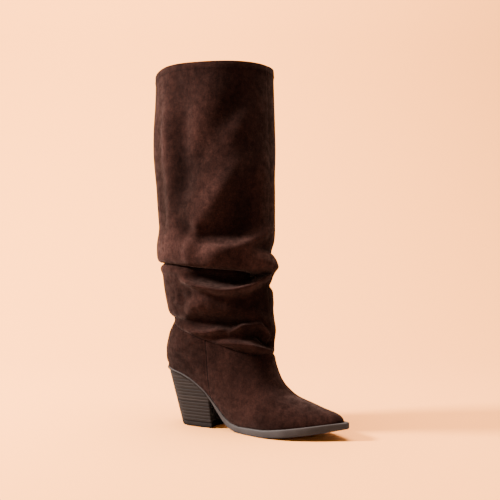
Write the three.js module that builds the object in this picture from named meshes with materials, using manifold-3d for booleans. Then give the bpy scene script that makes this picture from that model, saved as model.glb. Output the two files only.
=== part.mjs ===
// Knee-high slouch boot for the right foot, in millimetres.
// +X points to the toe, +Y to the inner side of the foot, +Z up.
// The origin is the centre of the heel's bottom face, on the floor.
import * as THREE from "three";
import { mergeVertices } from "three/addons/utils/BufferGeometryUtils.js";
import Module from "manifold-3d";

// Driving sizes of the last and the shaft
const soleLength = 246;
const ballWidth = 82;
const bootHeight = 435;
const seatHeight = 73;
const instepHeight = 148;
const toeSpring = 13;
const shaftDepth = 156;
const shaftWidth = 122;
const shaftAxis = 64.5;

// Materials' thicknesses
const wall = 2;
const turnedEdge = 0.6;
const turnedEdgeHeight = 9;
const soleEdge = 9;
const seatEdge = 2.2;
const insoleThickness = 2;
const insoleLean = 1.2;
const insoleInset = 0.9;
const insoleEndInset = 1.2;
const liftThickness = 6;

// Clearances and ledges
const gap = 0.3;
const seamGap = 0.45;
const weltLedge = 2.6;
const heelLedge = 0.5;
const toeLedge = 5;
const ledgeWidensFrom = 0.3;
const ledgeWidensTo = 0.55;
const toeRadius = 8;
const heelRadius = 29;

// Heel block
const heelBaseLength = 55.5;
const heelBaseWidth = 47;
const heelPitch = 22.5;
const breastTop = 72.5;
const breastHollow = 7;
const layerPitch = 3.9;
const layerGroove = 0.45;
const grooveShare = 0.2;
const liftBevel = 0.3;
const edgeBevel = 1.2;

// Mesh fineness
const columnsPerSide = 17;
const upperRows = 28;
const openRows = 24;
const shaftRows = 34;
const plainRows = 4;
const heelColumns = 9;
const breastColumns = 5;

// The sole from the heel's back to the toe's tip.
// at: share of soleLength; rise: underside, share of the seat's height; edge: 0 seatEdge to 1 soleEdge;
// outer, inner: half widths, shares of ballWidth; swing: centre line towards the inner side, same share.
const soleTable = [
  { at: 0.0, rise: 1.0, edge: 0.0, outer: 0.348, inner: 0.338, swing: 0.0 },
  { at: 0.0765, rise: 0.946, edge: 0.0, outer: 0.35, inner: 0.34, swing: 0.0 },
  { at: 0.128, rise: 0.903, edge: 0.0, outer: 0.354, inner: 0.34, swing: 0.0 },
  { at: 0.191, rise: 0.818, edge: 0.0, outer: 0.356, inner: 0.334, swing: 0.0 },
  { at: 0.237, rise: 0.728, edge: 0.0, outer: 0.352, inner: 0.322, swing: 0.0 },
  { at: 0.281, rise: 0.614, edge: 0.04, outer: 0.344, inner: 0.305, swing: 0.0 },
  { at: 0.326, rise: 0.43, edge: 0.36, outer: 0.332, inner: 0.282, swing: 0.0 },
  { at: 0.363, rise: 0.25, edge: 0.74, outer: 0.324, inner: 0.268, swing: 0.0 },
  { at: 0.405, rise: 0.095, edge: 0.86, outer: 0.328, inner: 0.268, swing: 0.0 },
  { at: 0.44, rise: 0.028, edge: 0.84, outer: 0.346, inner: 0.28, swing: 0.0 },
  { at: 0.492, rise: 0.0, edge: 0.84, outer: 0.386, inner: 0.314, swing: 0.002 },
  { at: 0.58, rise: 0.0, edge: 0.93, outer: 0.454, inner: 0.392, swing: 0.006 },
  { at: 0.668, rise: 0.0, edge: 1.0, outer: 0.496, inner: 0.458, swing: 0.012 },
  { at: 0.735, rise: 0.0, edge: 1.07, outer: 0.49, inner: 0.476, swing: 0.018 },
  { at: 0.8, rise: 0.0, edge: 1.09, outer: 0.437, inner: 0.432, swing: 0.024 },
  { at: 0.865, rise: 0.0, edge: 1.07, outer: 0.343, inner: 0.345, swing: 0.03 },
  { at: 0.925, rise: 0.0, edge: 1.0, outer: 0.222, inner: 0.23, swing: 0.034 },
  { at: 0.973, rise: 0.0, edge: 0.87, outer: 0.106, inner: 0.112, swing: 0.037 },
  { at: 1.0, rise: 0.0, edge: 0.76, outer: 0.045, inner: 0.047, swing: 0.038 },
];

// Sections of the foot, each in a plane from the ridge down to the seat line.
// ridge: place along the sole, share of soleLength; height: of the ridge, share of instepHeight;
// seat: where the plane meets the seat line, share of soleLength; outer, inner: widest half widths,
// shares of ballWidth; top, under: fullness above and below the widest place, 1 being an ellipse.
const footTable = [
  { ridge: 0.973, height: 0.162, seat: 0.9735, outer: 0.0, inner: 0.0, top: 0.95, under: 1.0 },
  { ridge: 0.957, height: 0.186, seat: 0.966, outer: 0.0, inner: 0.0, top: 0.95, under: 1.0 },
  { ridge: 0.918, height: 0.208, seat: 0.94, outer: 0.0, inner: 0.0, top: 1.0, under: 1.0 },
  { ridge: 0.857, height: 0.23, seat: 0.893, outer: 0.0, inner: 0.0, top: 1.03, under: 1.0 },
  { ridge: 0.788, height: 0.264, seat: 0.825, outer: 0.0, inner: 0.0, top: 1.05, under: 1.0 },
  { ridge: 0.723, height: 0.3, seat: 0.74, outer: 0.465, inner: 0.445, top: 1.06, under: 1.0 },
  { ridge: 0.679, height: 0.346, seat: 0.642, outer: 0.474, inner: 0.446, top: 1.06, under: 1.0 },
  { ridge: 0.645, height: 0.412, seat: 0.537, outer: 0.437, inner: 0.402, top: 1.04, under: 1.0 },
  { ridge: 0.622, height: 0.494, seat: 0.436, outer: 0.411, inner: 0.379, top: 1.0, under: 1.0 },
  { ridge: 0.606, height: 0.584, seat: 0.342, outer: 0.405, inner: 0.379, top: 0.97, under: 1.0 },
  { ridge: 0.600, height: 0.676, seat: 0.257, outer: 0.415, inner: 0.396, top: 0.94, under: 1.0 },
  { ridge: 0.601, height: 0.764, seat: 0.179, outer: 0.43, inner: 0.415, top: 0.93, under: 1.0 },
  { ridge: 0.602, height: 0.842, seat: 0.109, outer: 0.446, inner: 0.434, top: 0.92, under: 0.97 },
  { ridge: 0.598, height: 0.92, seat: 0.04, outer: 0.472, inner: 0.463, top: 0.92, under: 0.94 },
  { ridge: 0.592, height: 1.0, seat: 0.002, outer: 0.506, inner: 0.5, top: 0.92, under: 0.89 },
];

// Rings of the leg, from the ankle to the collar.
// front, back: distance from the shaft's axis, shares of half the shaftDepth; frontRise, backRise:
// height, 0 at the foot's last section and 1 at the collar; side: half width, share of half the shaftWidth.
const legTable = [
  { front: 1.04, frontRise: 0.016, back: 0.85, backRise: 0.021, side: 0.694, full: 0.9 },
  { front: 1.03, frontRise: 0.036, back: 0.85, backRise: 0.045, side: 0.71, full: 0.91 },
  { front: 1.005, frontRise: 0.076, back: 0.785, backRise: 0.095, side: 0.745, full: 0.92 },
  { front: 0.98, frontRise: 0.118, back: 0.7, backRise: 0.14, side: 0.78, full: 0.93 },
  { front: 0.965, frontRise: 0.16, back: 0.735, backRise: 0.19, side: 0.82, full: 0.92 },
  { front: 0.98, frontRise: 0.205, back: 0.84, backRise: 0.25, side: 0.87, full: 0.92 },
  { front: 1.0, frontRise: 0.256, back: 0.87, backRise: 0.325, side: 0.925, full: 0.91 },
  { front: 1.02, frontRise: 0.33, back: 0.9, backRise: 0.42, side: 0.965, full: 0.91 },
  { front: 1.035, frontRise: 0.5, back: 0.965, backRise: 0.585, side: 1.0, full: 0.91 },
  { front: 1.015, frontRise: 0.72, back: 1.01, backRise: 0.77, side: 1.0, full: 0.91 },
  { front: 0.98, frontRise: 1.0, back: 0.985, backRise: 1.0, side: 0.985, full: 0.91 },
];

// Folds of the slouched leg.
// path: the fold's line as [turn round the leg in degrees, height as a share of bootHeight], 0 being in
// front, negative on the outer side, 180 behind; depth, width: crease, negative for a ridge; bag, lip:
// swell above and below; sag: overhang, all shares of shaftWidth; up, down: reach of the swells above
// and below, shares of bootHeight.
const foldTable = [
  { path: [[-232, 0.446], [-180, 0.469], [-124, 0.462], [-96, 0.446], [-66, 0.437], [-36, 0.43], [-4, 0.432],
    [26, 0.437]],
    depth: 0.06, width: 0.068, bag: 0.016, up: 0.101, lip: 0.008, down: 0.046, sag: 0.045 },
  { path: [[-100, 0.423], [-62, 0.418], [-36, 0.421], [-6, 0.441]],
    depth: 0.08, width: 0.075, bag: 0.016, up: 0.092, lip: 0.0, down: 0.03, sag: 0.008 },
  { path: [[-118, 0.405], [-74, 0.391], [-46, 0.389], [-20, 0.409], [10, 0.421]],
    depth: -0.04, width: 0.055, bag: 0.0, up: 0.046, lip: 0.0, down: 0.03, sag: 0.0 },
  { path: [[-40, 0.492], [-8, 0.469], [26, 0.448], [64, 0.457]],
    depth: -0.08, width: 0.09, bag: 0.0, up: 0.046, lip: 0.0, down: 0.03, sag: 0.012 },
  { path: [[-22, 0.416], [12, 0.402], [54, 0.395]],
    depth: 0.035, width: 0.066, bag: 0.008, up: 0.046, lip: 0.016, down: 0.037, sag: 0.008 },
  { path: [[52, 0.48], [88, 0.451], [122, 0.421]],
    depth: -0.049, width: 0.07, bag: 0.0, up: 0.046, lip: 0.0, down: 0.03, sag: 0.016 },
  { path: [[54, 0.393], [86, 0.395], [130, 0.405]],
    depth: 0.06, width: 0.062, bag: 0.025, up: 0.046, lip: 0.016, down: 0.037, sag: 0.016 },
  { path: [[16, 0.336], [36, 0.347], [66, 0.363]],
    depth: 0.037, width: 0.06, bag: 0.02, up: 0.046, lip: 0.008, down: 0.032, sag: 0.012 },
  { path: [[22, 0.271], [60, 0.28], [104, 0.294]],
    depth: 0.037, width: 0.06, bag: 0.033, up: 0.046, lip: 0.008, down: 0.028, sag: 0.012 },
  { path: [[-200, 0.305], [-124, 0.305], [-88, 0.297], [-52, 0.299], [-14, 0.274]],
    depth: 0.044, width: 0.062, bag: 0.033, up: 0.078, lip: 0.0, down: 0.03, sag: 0.022 },
  { path: [[-104, 0.575], [-72, 0.552], [-20, 0.51]],
    depth: 0.055, width: 0.098, bag: 0.0, up: 0.046, lip: 0.0, down: 0.03, sag: 0.0 },
  { path: [[-80, 0.49], [-44, 0.503], [-2, 0.547]],
    depth: -0.045, width: 0.066, bag: 0.0, up: 0.046, lip: 0.0, down: 0.03, sag: 0.0 },
  { path: [[-62, 0.26], [-33, 0.264], [6, 0.246]],
    depth: 0.04, width: 0.05, bag: 0.0, up: 0.046, lip: 0.0, down: 0.03, sag: 0.0 },
];
const foldFade = 26;
const fullTurn = 360;

// The seam between the shaft and the foot, seen from the side: heights as shares of bootHeight,
// falling from the back to the front
const seamBackLevel = 0.3115;
const seamFrontLevel = 0.2103;
const seamFall = 1.3;
const seamBend = 2;
const halvings = 30;

// The least bulge of a section over its foot, and the least width and the weld of corners, in mm
const leastBulge = 1.01;
const least = 0.001;

// Curves through tables
function smoothThrough(xs, ys, x) {
  const last = xs.length - 1;
  if (x <= xs[0]) return ys[0];
  if (x >= xs[last]) return ys[last];
  let i = 0;
  while (x > xs[i + 1]) i += 1;
  const slope = (k) => {
    if (k < 0 || k >= last) return null;
    return (ys[k + 1] - ys[k]) / (xs[k + 1] - xs[k]);
  };
  const tangent = (k) => {
    const a = slope(k - 1);
    const b = slope(k);
    if (a === null) return b;
    if (b === null) return a;
    if (a * b <= 0) return 0;
    const wa = 2 * (xs[k + 1] - xs[k]) + (xs[k] - xs[k - 1]);
    const wb = (xs[k + 1] - xs[k]) + 2 * (xs[k] - xs[k - 1]);
    return (wa + wb) / (wa / a + wb / b);
  };
  const h = xs[i + 1] - xs[i];
  const t = (x - xs[i]) / h;
  const t2 = t * t;
  const t3 = t2 * t;
  return (2 * t3 - 3 * t2 + 1) * ys[i] + (t3 - 2 * t2 + t) * h * tangent(i)
    + (3 * t2 - 2 * t3) * ys[i + 1] + (t3 - t2) * h * tangent(i + 1);
}

function tableCurve(table, column) {
  const xs = table.map((row) => row.at);
  const ys = table.map((row) => row[column]);
  return (x) => smoothThrough(xs, ys, x);
}

function clamp(value, low, high) {
  return Math.min(high, Math.max(low, value));
}

function smoothStep(low, high, value) {
  const t = clamp((value - low) / (high - low), 0, 1);
  return t * t * (3 - 2 * t);
}

// The sole's lines, all as functions of x from the heel's back
const soleCurve = {};
for (const column of ["rise", "edge", "outer", "inner", "swing"]) {
  soleCurve[column] = tableCurve(soleTable, column);
}
const springStart = 0.63;
const springPower = 1.36;

function underside(x) {
  const at = x / soleLength;
  const spring = Math.max(0, (at - springStart) / (1 - springStart)) ** springPower;
  return (seatHeight - seatEdge) * soleCurve.rise(at) + toeSpring * spring;
}

function soleTop(x) {
  return underside(x) + seatEdge + (soleEdge - seatEdge) * soleCurve.edge(x / soleLength);
}

function centreLine(x) {
  return ballWidth * soleCurve.swing(x / soleLength);
}

function roundEnd(distance, radius) {
  const t = clamp(1 - distance / radius, 0, 1);
  return Math.sqrt(1 - t * t);
}

function soleHalfWidth(x, side) {
  return ballWidth * soleCurve[side](x / soleLength) * roundEnd(x, heelRadius);
}

// The feather line, where the upper stands on the sole
const featherStart = heelLedge;
const featherEnd = soleLength - toeLedge;

function ledge(x) {
  const share = clamp((x / soleLength - ledgeWidensFrom) / (ledgeWidensTo - ledgeWidensFrom), 0, 1);
  return heelLedge + (weltLedge - heelLedge) * share;
}

function featherHalfWidth(x, side) {
  const at = x / soleLength;
  const full = ballWidth * soleCurve[side](at) - ledge(x);
  return full * roundEnd(x - featherStart, heelRadius) * roundEnd(featherEnd - x, toeRadius);
}

// Sections of the whole boot, foot first and then the leg
const footRows = footTable.map((row) => ({
  frontX: row.ridge * soleLength,
  frontZ: row.height * instepHeight,
  backX: row.seat * soleLength,
  backZ: 0,
  outer: row.outer * ballWidth,
  inner: row.inner * ballWidth,
  top: row.top,
  under: row.under,
}));
footRows.unshift({
  frontX: featherEnd, frontZ: soleTop(featherEnd) + gap, backX: featherEnd, backZ: 0,
  outer: 0, inner: 0, top: 0.95, under: 1,
});
const legFoot = { front: instepHeight, back: soleTop(0) + gap };
const legRows = legTable.map((row) => ({
  frontX: shaftAxis + row.front * shaftDepth / 2,
  frontZ: legFoot.front + (bootHeight - legFoot.front) * row.frontRise,
  backX: shaftAxis - row.back * shaftDepth / 2,
  backZ: legFoot.back + (bootHeight - legFoot.back) * row.backRise,
  outer: row.side * shaftWidth / 2,
  inner: row.side * shaftWidth / 2,
  top: row.full,
  under: row.full,
}));
const closing = footRows.length - 1;
footRows[closing].backX = featherStart;
footRows.forEach((row) => { row.backZ = soleTop(row.backX) + gap; });
const sections = [...footRows, ...legRows];
const collar = sections.length - 1;
const foldEnd = collar - 3;
const evenUntil = 5;
const ringFrom = 12;
const places = sections.map((row, index) => index);

function section(place) {
  const found = {};
  for (const key of Object.keys(sections[0])) {
    found[key] = smoothThrough(places, sections.map((row) => row[key]), place);
  }
  if (place < closing) found.backZ = soleTop(found.backX) + gap;
  return found;
}

// Folds push the leather in and out and let it hang over itself
function hump(t) {
  return t <= 0 || t >= 1 ? 0 : 6.75 * t * (1 - t) * (1 - t);
}

function foldMove(turn, height) {
  let push = 0;
  let drop = 0;
  for (const fold of foldTable) {
    const turns = fold.path.map(([at]) => at);
    const levels = fold.path.map(([, level]) => bootHeight * level);
    const [first, last] = [turns[0], turns[turns.length - 1]];
    for (const at of [turn - fullTurn, turn, turn + fullTurn]) {
      const fade = smoothStep(0, foldFade, at - first) * smoothStep(0, foldFade, last - at);
      const rise = height - smoothThrough(turns, levels, at);
      const crease = Math.exp(-((rise / (shaftWidth * fold.width)) ** 2));
      const up = bootHeight * fold.up;
      const swell = fold.bag * hump(rise / up) + fold.lip * hump(-rise / (bootHeight * fold.down));
      push += shaftWidth * fade * (swell - fold.depth * crease);
      drop += shaftWidth * fade * fold.sag * hump(rise / (up / 2));
    }
  }
  return { push, drop };
}

// The angle round a section at a share of the way to its end: even steps at the toe, and towards the
// heel the steps of a closed ring, so that the columns run on smoothly into the leg
function angleAt(place, share, end) {
  const ring = Math.acos(1 - (1 - Math.cos(Math.PI * share)) * (1 - Math.cos(end)) / 2);
  return end * share + (ring - end * share) * smoothStep(evenUntil, ringFrom, place);
}

// A point of the boot's outer surface before the folds, with its outward direction. round runs from
// -1, the outer seat line, over the ridge at 0 to 1, the inner seat line; above the closing section
// both ends meet behind.
function plainSurface(place, round) {
  const cut = section(place);
  const side = round < 0 ? "outer" : "inner";
  const sign = round < 0 ? -1 : 1;
  const foot = place < closing ? featherHalfWidth(cut.backX, side) : 0;
  const wide = Math.max(cut[side], foot * leastBulge, least);
  const end = Math.PI - Math.asin((foot / wide) ** (1 / cut.under));
  const angle = angleAt(place, Math.abs(round), end);
  const down = (1 - Math.cos(angle)) / (1 - Math.cos(end));
  const power = angle < Math.PI / 2 ? cut.top : cut.under;
  const out = wide * Math.max(0, Math.sin(angle)) ** power;
  const centre = centreLine(cut.frontX) * (1 - down) + centreLine(cut.backX) * down;
  const point = new THREE.Vector3(
    cut.frontX + (cut.backX - cut.frontX) * down,
    centre + sign * out,
    cut.frontZ + (cut.backZ - cut.frontZ) * down,
  );
  const lengthwise = new THREE.Vector3(cut.frontX - cut.backX, 0, cut.frontZ - cut.backZ);
  const half = Math.max(1, lengthwise.length() / 2);
  const outward = lengthwise.normalize().multiplyScalar(Math.cos(angle) / half);
  outward.y += sign * Math.sin(angle) / wide;
  outward.normalize();
  return { point, outward, turn: sign * THREE.MathUtils.radToDeg(angle) };
}

function surface(place, round) {
  const { point, outward, turn } = plainSurface(place, round);
  const move = foldMove(turn, point.z);
  point.addScaledVector(outward, move.push);
  point.z -= move.drop;
  if (point.z > bootHeight - turnedEdgeHeight) point.addScaledVector(outward, turnedEdge);
  return point;
}

// The place on each column where the boot meets the seam's line
const seamFront = shaftAxis + legTable[0].front * shaftDepth / 2;

function seamHeight(x) {
  const back = clamp(1 - x / seamFront, 0, 1);
  return bootHeight * (seamFrontLevel + (seamBackLevel - seamFrontLevel) * back ** seamFall);
}

function halve(low, high, isLow) {
  let [from, to] = [low, high];
  for (let i = 0; i < halvings; i += 1) {
    const middle = (from + to) / 2;
    if (isLow(middle)) from = middle;
    else to = middle;
  }
  return from;
}

function findSeam(round) {
  return halve(0, foldEnd, (place) => {
    const { point } = plainSurface(place, round);
    return point.z < seamHeight(point.x);
  });
}

const seamFound = new Map();

function seamPlace(round) {
  if (!seamFound.has(round)) seamFound.set(round, findSeam(round));
  return seamFound.get(round);
}

// Rows of places from one end of a piece to the other
function rounds() {
  const list = [];
  for (let j = -columnsPerSide; j <= columnsPerSide; j += 1) list.push(j / columnsPerSide);
  return list;
}

function gridOf(rowPlaces) {
  return rowPlaces.map((placeAt) => rounds().map((round) => surface(placeAt(round), round)));
}

// Closed meshes
function quad(list, a, b, c, d) {
  list.push(a, b, c, a, c, d);
}

function geometryOf(list) {
  const loose = new THREE.BufferGeometry().setFromPoints(list);
  const merged = mergeVertices(loose, least);
  const index = merged.getIndex().array;
  const kept = [];
  for (let i = 0; i < index.length; i += 3) {
    const [a, b, c] = [index[i], index[i + 1], index[i + 2]];
    if (a !== b && b !== c && c !== a) kept.push(a, b, c);
  }
  merged.setIndex(kept);
  merged.computeVertexNormals();
  return merged;
}

function keyOf(point) {
  return [point.x, point.y, point.z].map((value) => Math.round(value / least)).join(",");
}

// The inner face of a wall: each point moved inwards along the mean normal of the faces round it
function insideOf(grid) {
  const sums = new Map();
  const add = (point, normal) => {
    const key = keyOf(point);
    if (!sums.has(key)) sums.set(key, new THREE.Vector3());
    sums.get(key).add(normal);
  };
  for (let i = 0; i + 1 < grid.length; i += 1) {
    for (let j = 0; j + 1 < grid[i].length; j += 1) {
      const corners = [grid[i][j], grid[i][j + 1], grid[i + 1][j + 1], grid[i + 1][j]];
      const one = corners[2].clone().sub(corners[0]);
      const two = corners[3].clone().sub(corners[1]);
      const normal = one.cross(two);
      corners.forEach((corner) => add(corner, normal));
    }
  }
  return grid.map((row) => row.map((point) => {
    const normal = sums.get(keyOf(point)).clone().normalize();
    return point.clone().addScaledVector(normal, -wall);
  }));
}

function wallSolid(outer, inner, openBelow) {
  const list = [];
  const top = outer.length - 1;
  const last = outer[0].length - 1;
  for (let i = 0; i < top; i += 1) {
    for (let j = 0; j < last; j += 1) {
      const corners = (grid) => [grid[i][j], grid[i][j + 1], grid[i + 1][j + 1], grid[i + 1][j]];
      const [a, b, c, d] = corners(outer);
      const [e, f, g, h] = corners(inner);
      if (a.distanceTo(c) < b.distanceTo(d)) {
        quad(list, a, b, c, d);
        quad(list, e, h, g, f);
      } else {
        quad(list, b, c, d, a);
        quad(list, h, g, f, e);
      }
    }
  }
  for (let j = 0; j < last; j += 1) {
    quad(list, outer[top][j], outer[top][j + 1], inner[top][j + 1], inner[top][j]);
    quad(list, outer[0][j + 1], outer[0][j], inner[0][j], inner[0][j + 1]);
  }
  for (let i = 0; i < openBelow; i += 1) {
    quad(list, outer[i][0], outer[i + 1][0], inner[i + 1][0], inner[i][0]);
    quad(list, outer[i + 1][last], outer[i][last], inner[i][last], inner[i + 1][last]);
  }
  return geometryOf(list);
}

// Rows of the upper: level with the sections low down, bending to the seam above. The last open row
// ends behind at the closing section.
function bentPlace(share, round) {
  return seamPlace(0) * share + (seamPlace(round) - seamPlace(0)) * share ** seamBend;
}

const closingShare = halve(0, 1, (share) => bentPlace(share, 1) < closing);

function upperPlace(row, round) {
  if (row === openRows && Math.abs(round) === 1) return closing;
  const share = row <= openRows
    ? closingShare * row / openRows
    : closingShare + (1 - closingShare) * (row - openRows) / (upperRows - openRows);
  return bentPlace(share, round);
}

// The whole boot's rows of places: the upper's up to the seam, then the shaft's up to the collar
function bootRows() {
  const rows = [];
  for (let i = 0; i <= upperRows; i += 1) rows.push((round) => upperPlace(i, round));
  const foldRows = shaftRows - plainRows;
  for (let i = 1; i <= foldRows; i += 1) {
    rows.push((round) => seamPlace(round) + (foldEnd - seamPlace(round)) * (i / foldRows));
  }
  for (let i = 1; i <= plainRows; i += 1) {
    rows.push(() => foldEnd + (collar - foldEnd) * i / plainRows);
  }
  return rows;
}

// Places along the sole: those of the upper's rows, so that both edges bend at the same points
function soleStations(start, end) {
  const list = [];
  for (let i = 0; i <= openRows; i += 1) list.push(section(upperPlace(i, 1)).backX);
  const inside = list.filter((x) => x > start + 2 * gap && x < end - 2 * gap).reverse();
  return [start, ...inside, end];
}

// Height of the outsole's top as built, straight between its stations
const topStations = soleStations(0, soleLength);

function builtTop(x) {
  let i = 0;
  while (i < topStations.length - 2 && x > topStations[i + 1]) i += 1;
  const [from, to] = [topStations[i], topStations[i + 1]];
  const share = clamp((x - from) / (to - from), 0, 1);
  return soleTop(from) * (1 - share) + soleTop(to) * share;
}

// The wall's two faces over the whole boot, with the inner edge standing on the sole
function bootWall() {
  const outer = gridOf(bootRows());
  const inner = insideOf(outer);
  const last = outer[0].length - 1;
  for (let i = 0; i <= openRows; i += 1) {
    for (const j of [0, last]) {
      const edge = outer[i][j];
      const flat = inner[i][j].clone().sub(edge).setZ(0).normalize();
      if (i === 0) flat.set(-1, 0, 0);
      inner[i][j].copy(edge).addScaledVector(flat, wall);
      inner[i][j].z = builtTop(inner[i][j].x) + gap;
    }
  }
  for (let j = 0; j <= last; j += 1) inner[0][j].copy(inner[0][0]);
  return { outer, inner };
}

// The upper: vamp and quarters, open underneath along the feather line and above at the seam
function upperGeometry({ outer, inner }) {
  return wallSolid(outer.slice(0, upperRows + 1), inner.slice(0, upperRows + 1), openRows);
}

// The shaft: a hollow tube from just above the seam to the collar
function shaftGeometry(faces) {
  const [outer, inner] = [faces.outer, faces.inner].map((grid) => {
    const own = grid.slice(upperRows);
    own[0] = own[0].map((point, j) => {
      const up = own[1][j].clone().sub(point).normalize();
      return point.clone().addScaledVector(up, seamGap);
    });
    return own;
  });
  return wallSolid(outer, inner, 0);
}

// A solid lofted through loops of points; an end that closes to a line needs no cap
function loftSolid(loops, capFirst, capLast) {
  const list = [];
  const count = loops[0].length;
  for (let i = 0; i + 1 < loops.length; i += 1) {
    for (let j = 0; j < count; j += 1) {
      const k = (j + 1) % count;
      quad(list, loops[i][j], loops[i][k], loops[i + 1][k], loops[i + 1][j]);
    }
  }
  const cap = (loop, reverse, flat) => {
    for (const [a, b, c] of THREE.ShapeUtils.triangulateShape(loop.map(flat), [])) {
      list.push(loop[a], loop[reverse ? c : b], loop[reverse ? b : c]);
    }
  };
  if (capFirst) cap(loops[0], true, capFirst);
  if (capLast) cap(loops[loops.length - 1], false, capLast);
  return geometryOf(list);
}

const seenFromToe = (point) => new THREE.Vector2(point.y, point.z);
const seenFromAbove = (point) => new THREE.Vector2(point.x, point.y);

// The outsole: forepart, waist and the thin strip over the heel, its edge bevelled below and above
function outsoleGeometry() {
  const edgeProfile = [
    { inset: edgeBevel, up: 0 },
    { inset: 0, up: 0.2 },
    { inset: 0, up: 0.86 },
    { inset: edgeBevel / 3, up: 1 },
  ];
  const loops = soleStations(0, soleLength).map((x) => {
    const low = underside(x);
    const thick = soleTop(x) - low;
    const point = (side, sign, { inset, up }) => {
      const out = Math.max(0, soleHalfWidth(x, side) - inset);
      return new THREE.Vector3(x, centreLine(x) + sign * out, low + thick * up);
    };
    const outer = edgeProfile.map((corner) => point("outer", -1, corner));
    const inner = edgeProfile.map((corner) => point("inner", 1, corner)).reverse();
    return [...outer.reverse(), ...inner.reverse()];
  });
  return loftSolid(loops, null, seenFromToe);
}

// The insole lies on the outsole inside the upper
function insoleGeometry() {
  const inset = wall + insoleInset;
  const endInset = inset + insoleEndInset;
  const start = featherStart + endInset;
  const end = featherEnd - endInset;
  const loops = soleStations(start, end).map((x) => {
    const low = soleTop(x) + gap;
    const point = (side, sign, up) => {
      const full = ballWidth * soleCurve[side](x / soleLength) - ledge(x) - inset - (up ? insoleLean : 0);
      const ends = roundEnd(x - start, heelRadius - inset) * roundEnd(end - x, toeRadius - inset);
      return new THREE.Vector3(x, centreLine(x) + sign * full * ends, low + up);
    };
    return [
      point("outer", -1, insoleThickness), point("outer", -1, 0),
      point("inner", 1, 0), point("inner", 1, insoleThickness),
    ];
  });
  return loftSolid(loops, null, null);
}

// A level ring of the heel: the seat's outline, narrowed and moved forward towards the floor,
// with a hollow breast
function heelRing(z, inset) {
  const low = 1 - z / seatHeight;
  const back = heelPitch * low + gap;
  const breast = breastTop + (heelPitch + heelBaseLength - breastTop) * low;
  const narrow = 1 - (1 - heelBaseWidth / (2 * heelRadius)) * low;
  const sidePoints = (side, sign) => {
    const list = [];
    for (let i = 0; i <= heelColumns; i += 1) {
      const share = 1 - Math.cos((i / heelColumns) * Math.PI / 2);
      const x = back + inset + (breast - back - 2 * inset) * share;
      const half = soleHalfWidth(breastTop * share, side) * narrow - inset;
      list.push(new THREE.Vector3(x, sign * Math.max(0, half), z));
    }
    return list;
  };
  const outer = sidePoints("outer", -1);
  const inner = sidePoints("inner", 1).reverse();
  const first = outer[outer.length - 1];
  const across = inner[0].y - first.y;
  const breastPoints = [];
  for (let i = 1; i < breastColumns; i += 1) {
    const t = i / breastColumns;
    const hollow = breastHollow * Math.sin(t * Math.PI);
    breastPoints.push(new THREE.Vector3(first.x - hollow, first.y + across * t, z));
  }
  return [...outer, ...breastPoints, ...inner.slice(0, -1)];
}

// The stacked heel block: layers with a groove between them, cut to the outsole's underside
function heelGeometry(wasm) {
  const bottom = liftThickness + gap;
  const rings = [];
  for (let z = bottom; z < seatHeight; z += layerPitch) {
    rings.push(heelRing(z, layerGroove));
    rings.push(heelRing(z + layerPitch * grooveShare, 0));
  }
  const block = loftSolid(rings, seenFromAbove, seenFromAbove);
  const seat = new THREE.Shape();
  const stations = soleStations(0, soleLength).filter((x) => x < soleLength / 2);
  const reach = 2 * ballWidth;
  seat.moveTo(-reach, underside(0) - gap);
  stations.forEach((x) => seat.lineTo(x, underside(x) - gap));
  seat.lineTo(soleLength / 2, bootHeight);
  seat.lineTo(-reach, bootHeight);
  const above = new THREE.ExtrudeGeometry(seat, { depth: reach, bevelEnabled: false });
  above.rotateX(Math.PI / 2);
  above.translate(0, reach / 2, 0);
  return cutAway(wasm, block, above);
}

function solidOf(wasm, geometry) {
  const bare = geometry.clone();
  bare.deleteAttribute("normal");
  bare.deleteAttribute("uv");
  const merged = mergeVertices(bare, least);
  return new wasm.Manifold(new wasm.Mesh({
    numProp: 3,
    vertProperties: Float32Array.from(merged.getAttribute("position").array),
    triVerts: Uint32Array.from(merged.getIndex().array),
  }));
}

function cutAway(wasm, body, tool) {
  const cut = solidOf(wasm, body).subtract(solidOf(wasm, tool)).getMesh();
  const geometry = new THREE.BufferGeometry();
  geometry.setAttribute("position", new THREE.BufferAttribute(cut.vertProperties, 3));
  geometry.setIndex(new THREE.BufferAttribute(cut.triVerts, 1));
  geometry.computeVertexNormals();
  return geometry;
}

// The heel's top lift, the layer that wears on the floor
function topLiftGeometry() {
  return loftSolid([heelRing(0, liftBevel), heelRing(liftThickness, 0)], seenFromAbove, seenFromAbove);
}

// Finishes
const suede = new THREE.MeshStandardMaterial({ color: 0x3a221e, roughness: 0.95, metalness: 0 });
const edgeRubber = new THREE.MeshStandardMaterial({ color: 0x5a4d47, roughness: 0.6, metalness: 0 });
const stackedHeel = new THREE.MeshStandardMaterial({ color: 0x4d4238, roughness: 0.6, metalness: 0 });
const liftRubber = new THREE.MeshStandardMaterial({ color: 0x2a2522, roughness: 0.7, metalness: 0 });
const sockLining = new THREE.MeshStandardMaterial({ color: 0x9a8468, roughness: 0.8, metalness: 0 });

function part(name, geometry, material) {
  const mesh = new THREE.Mesh(geometry, material);
  mesh.name = name;
  return mesh;
}

const wasm = await Module();
wasm.setup();
const faces = bootWall();
const boot = new THREE.Group();
boot.add(part("upper", upperGeometry(faces), suede));
boot.add(part("shaft", shaftGeometry(faces), suede));
boot.add(part("insole", insoleGeometry(), sockLining));
boot.add(part("outsole", outsoleGeometry(), edgeRubber));
boot.add(part("heel", heelGeometry(wasm), stackedHeel));
boot.add(part("heel_top_lift", topLiftGeometry(), liftRubber));
boot.position.x = -(heelPitch + heelBaseLength / 2);

export default boot;
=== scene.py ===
# Looks of the knee-high slouch boot: suede skin with its folds and seams, heel, sole, floor and light.
import math

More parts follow.
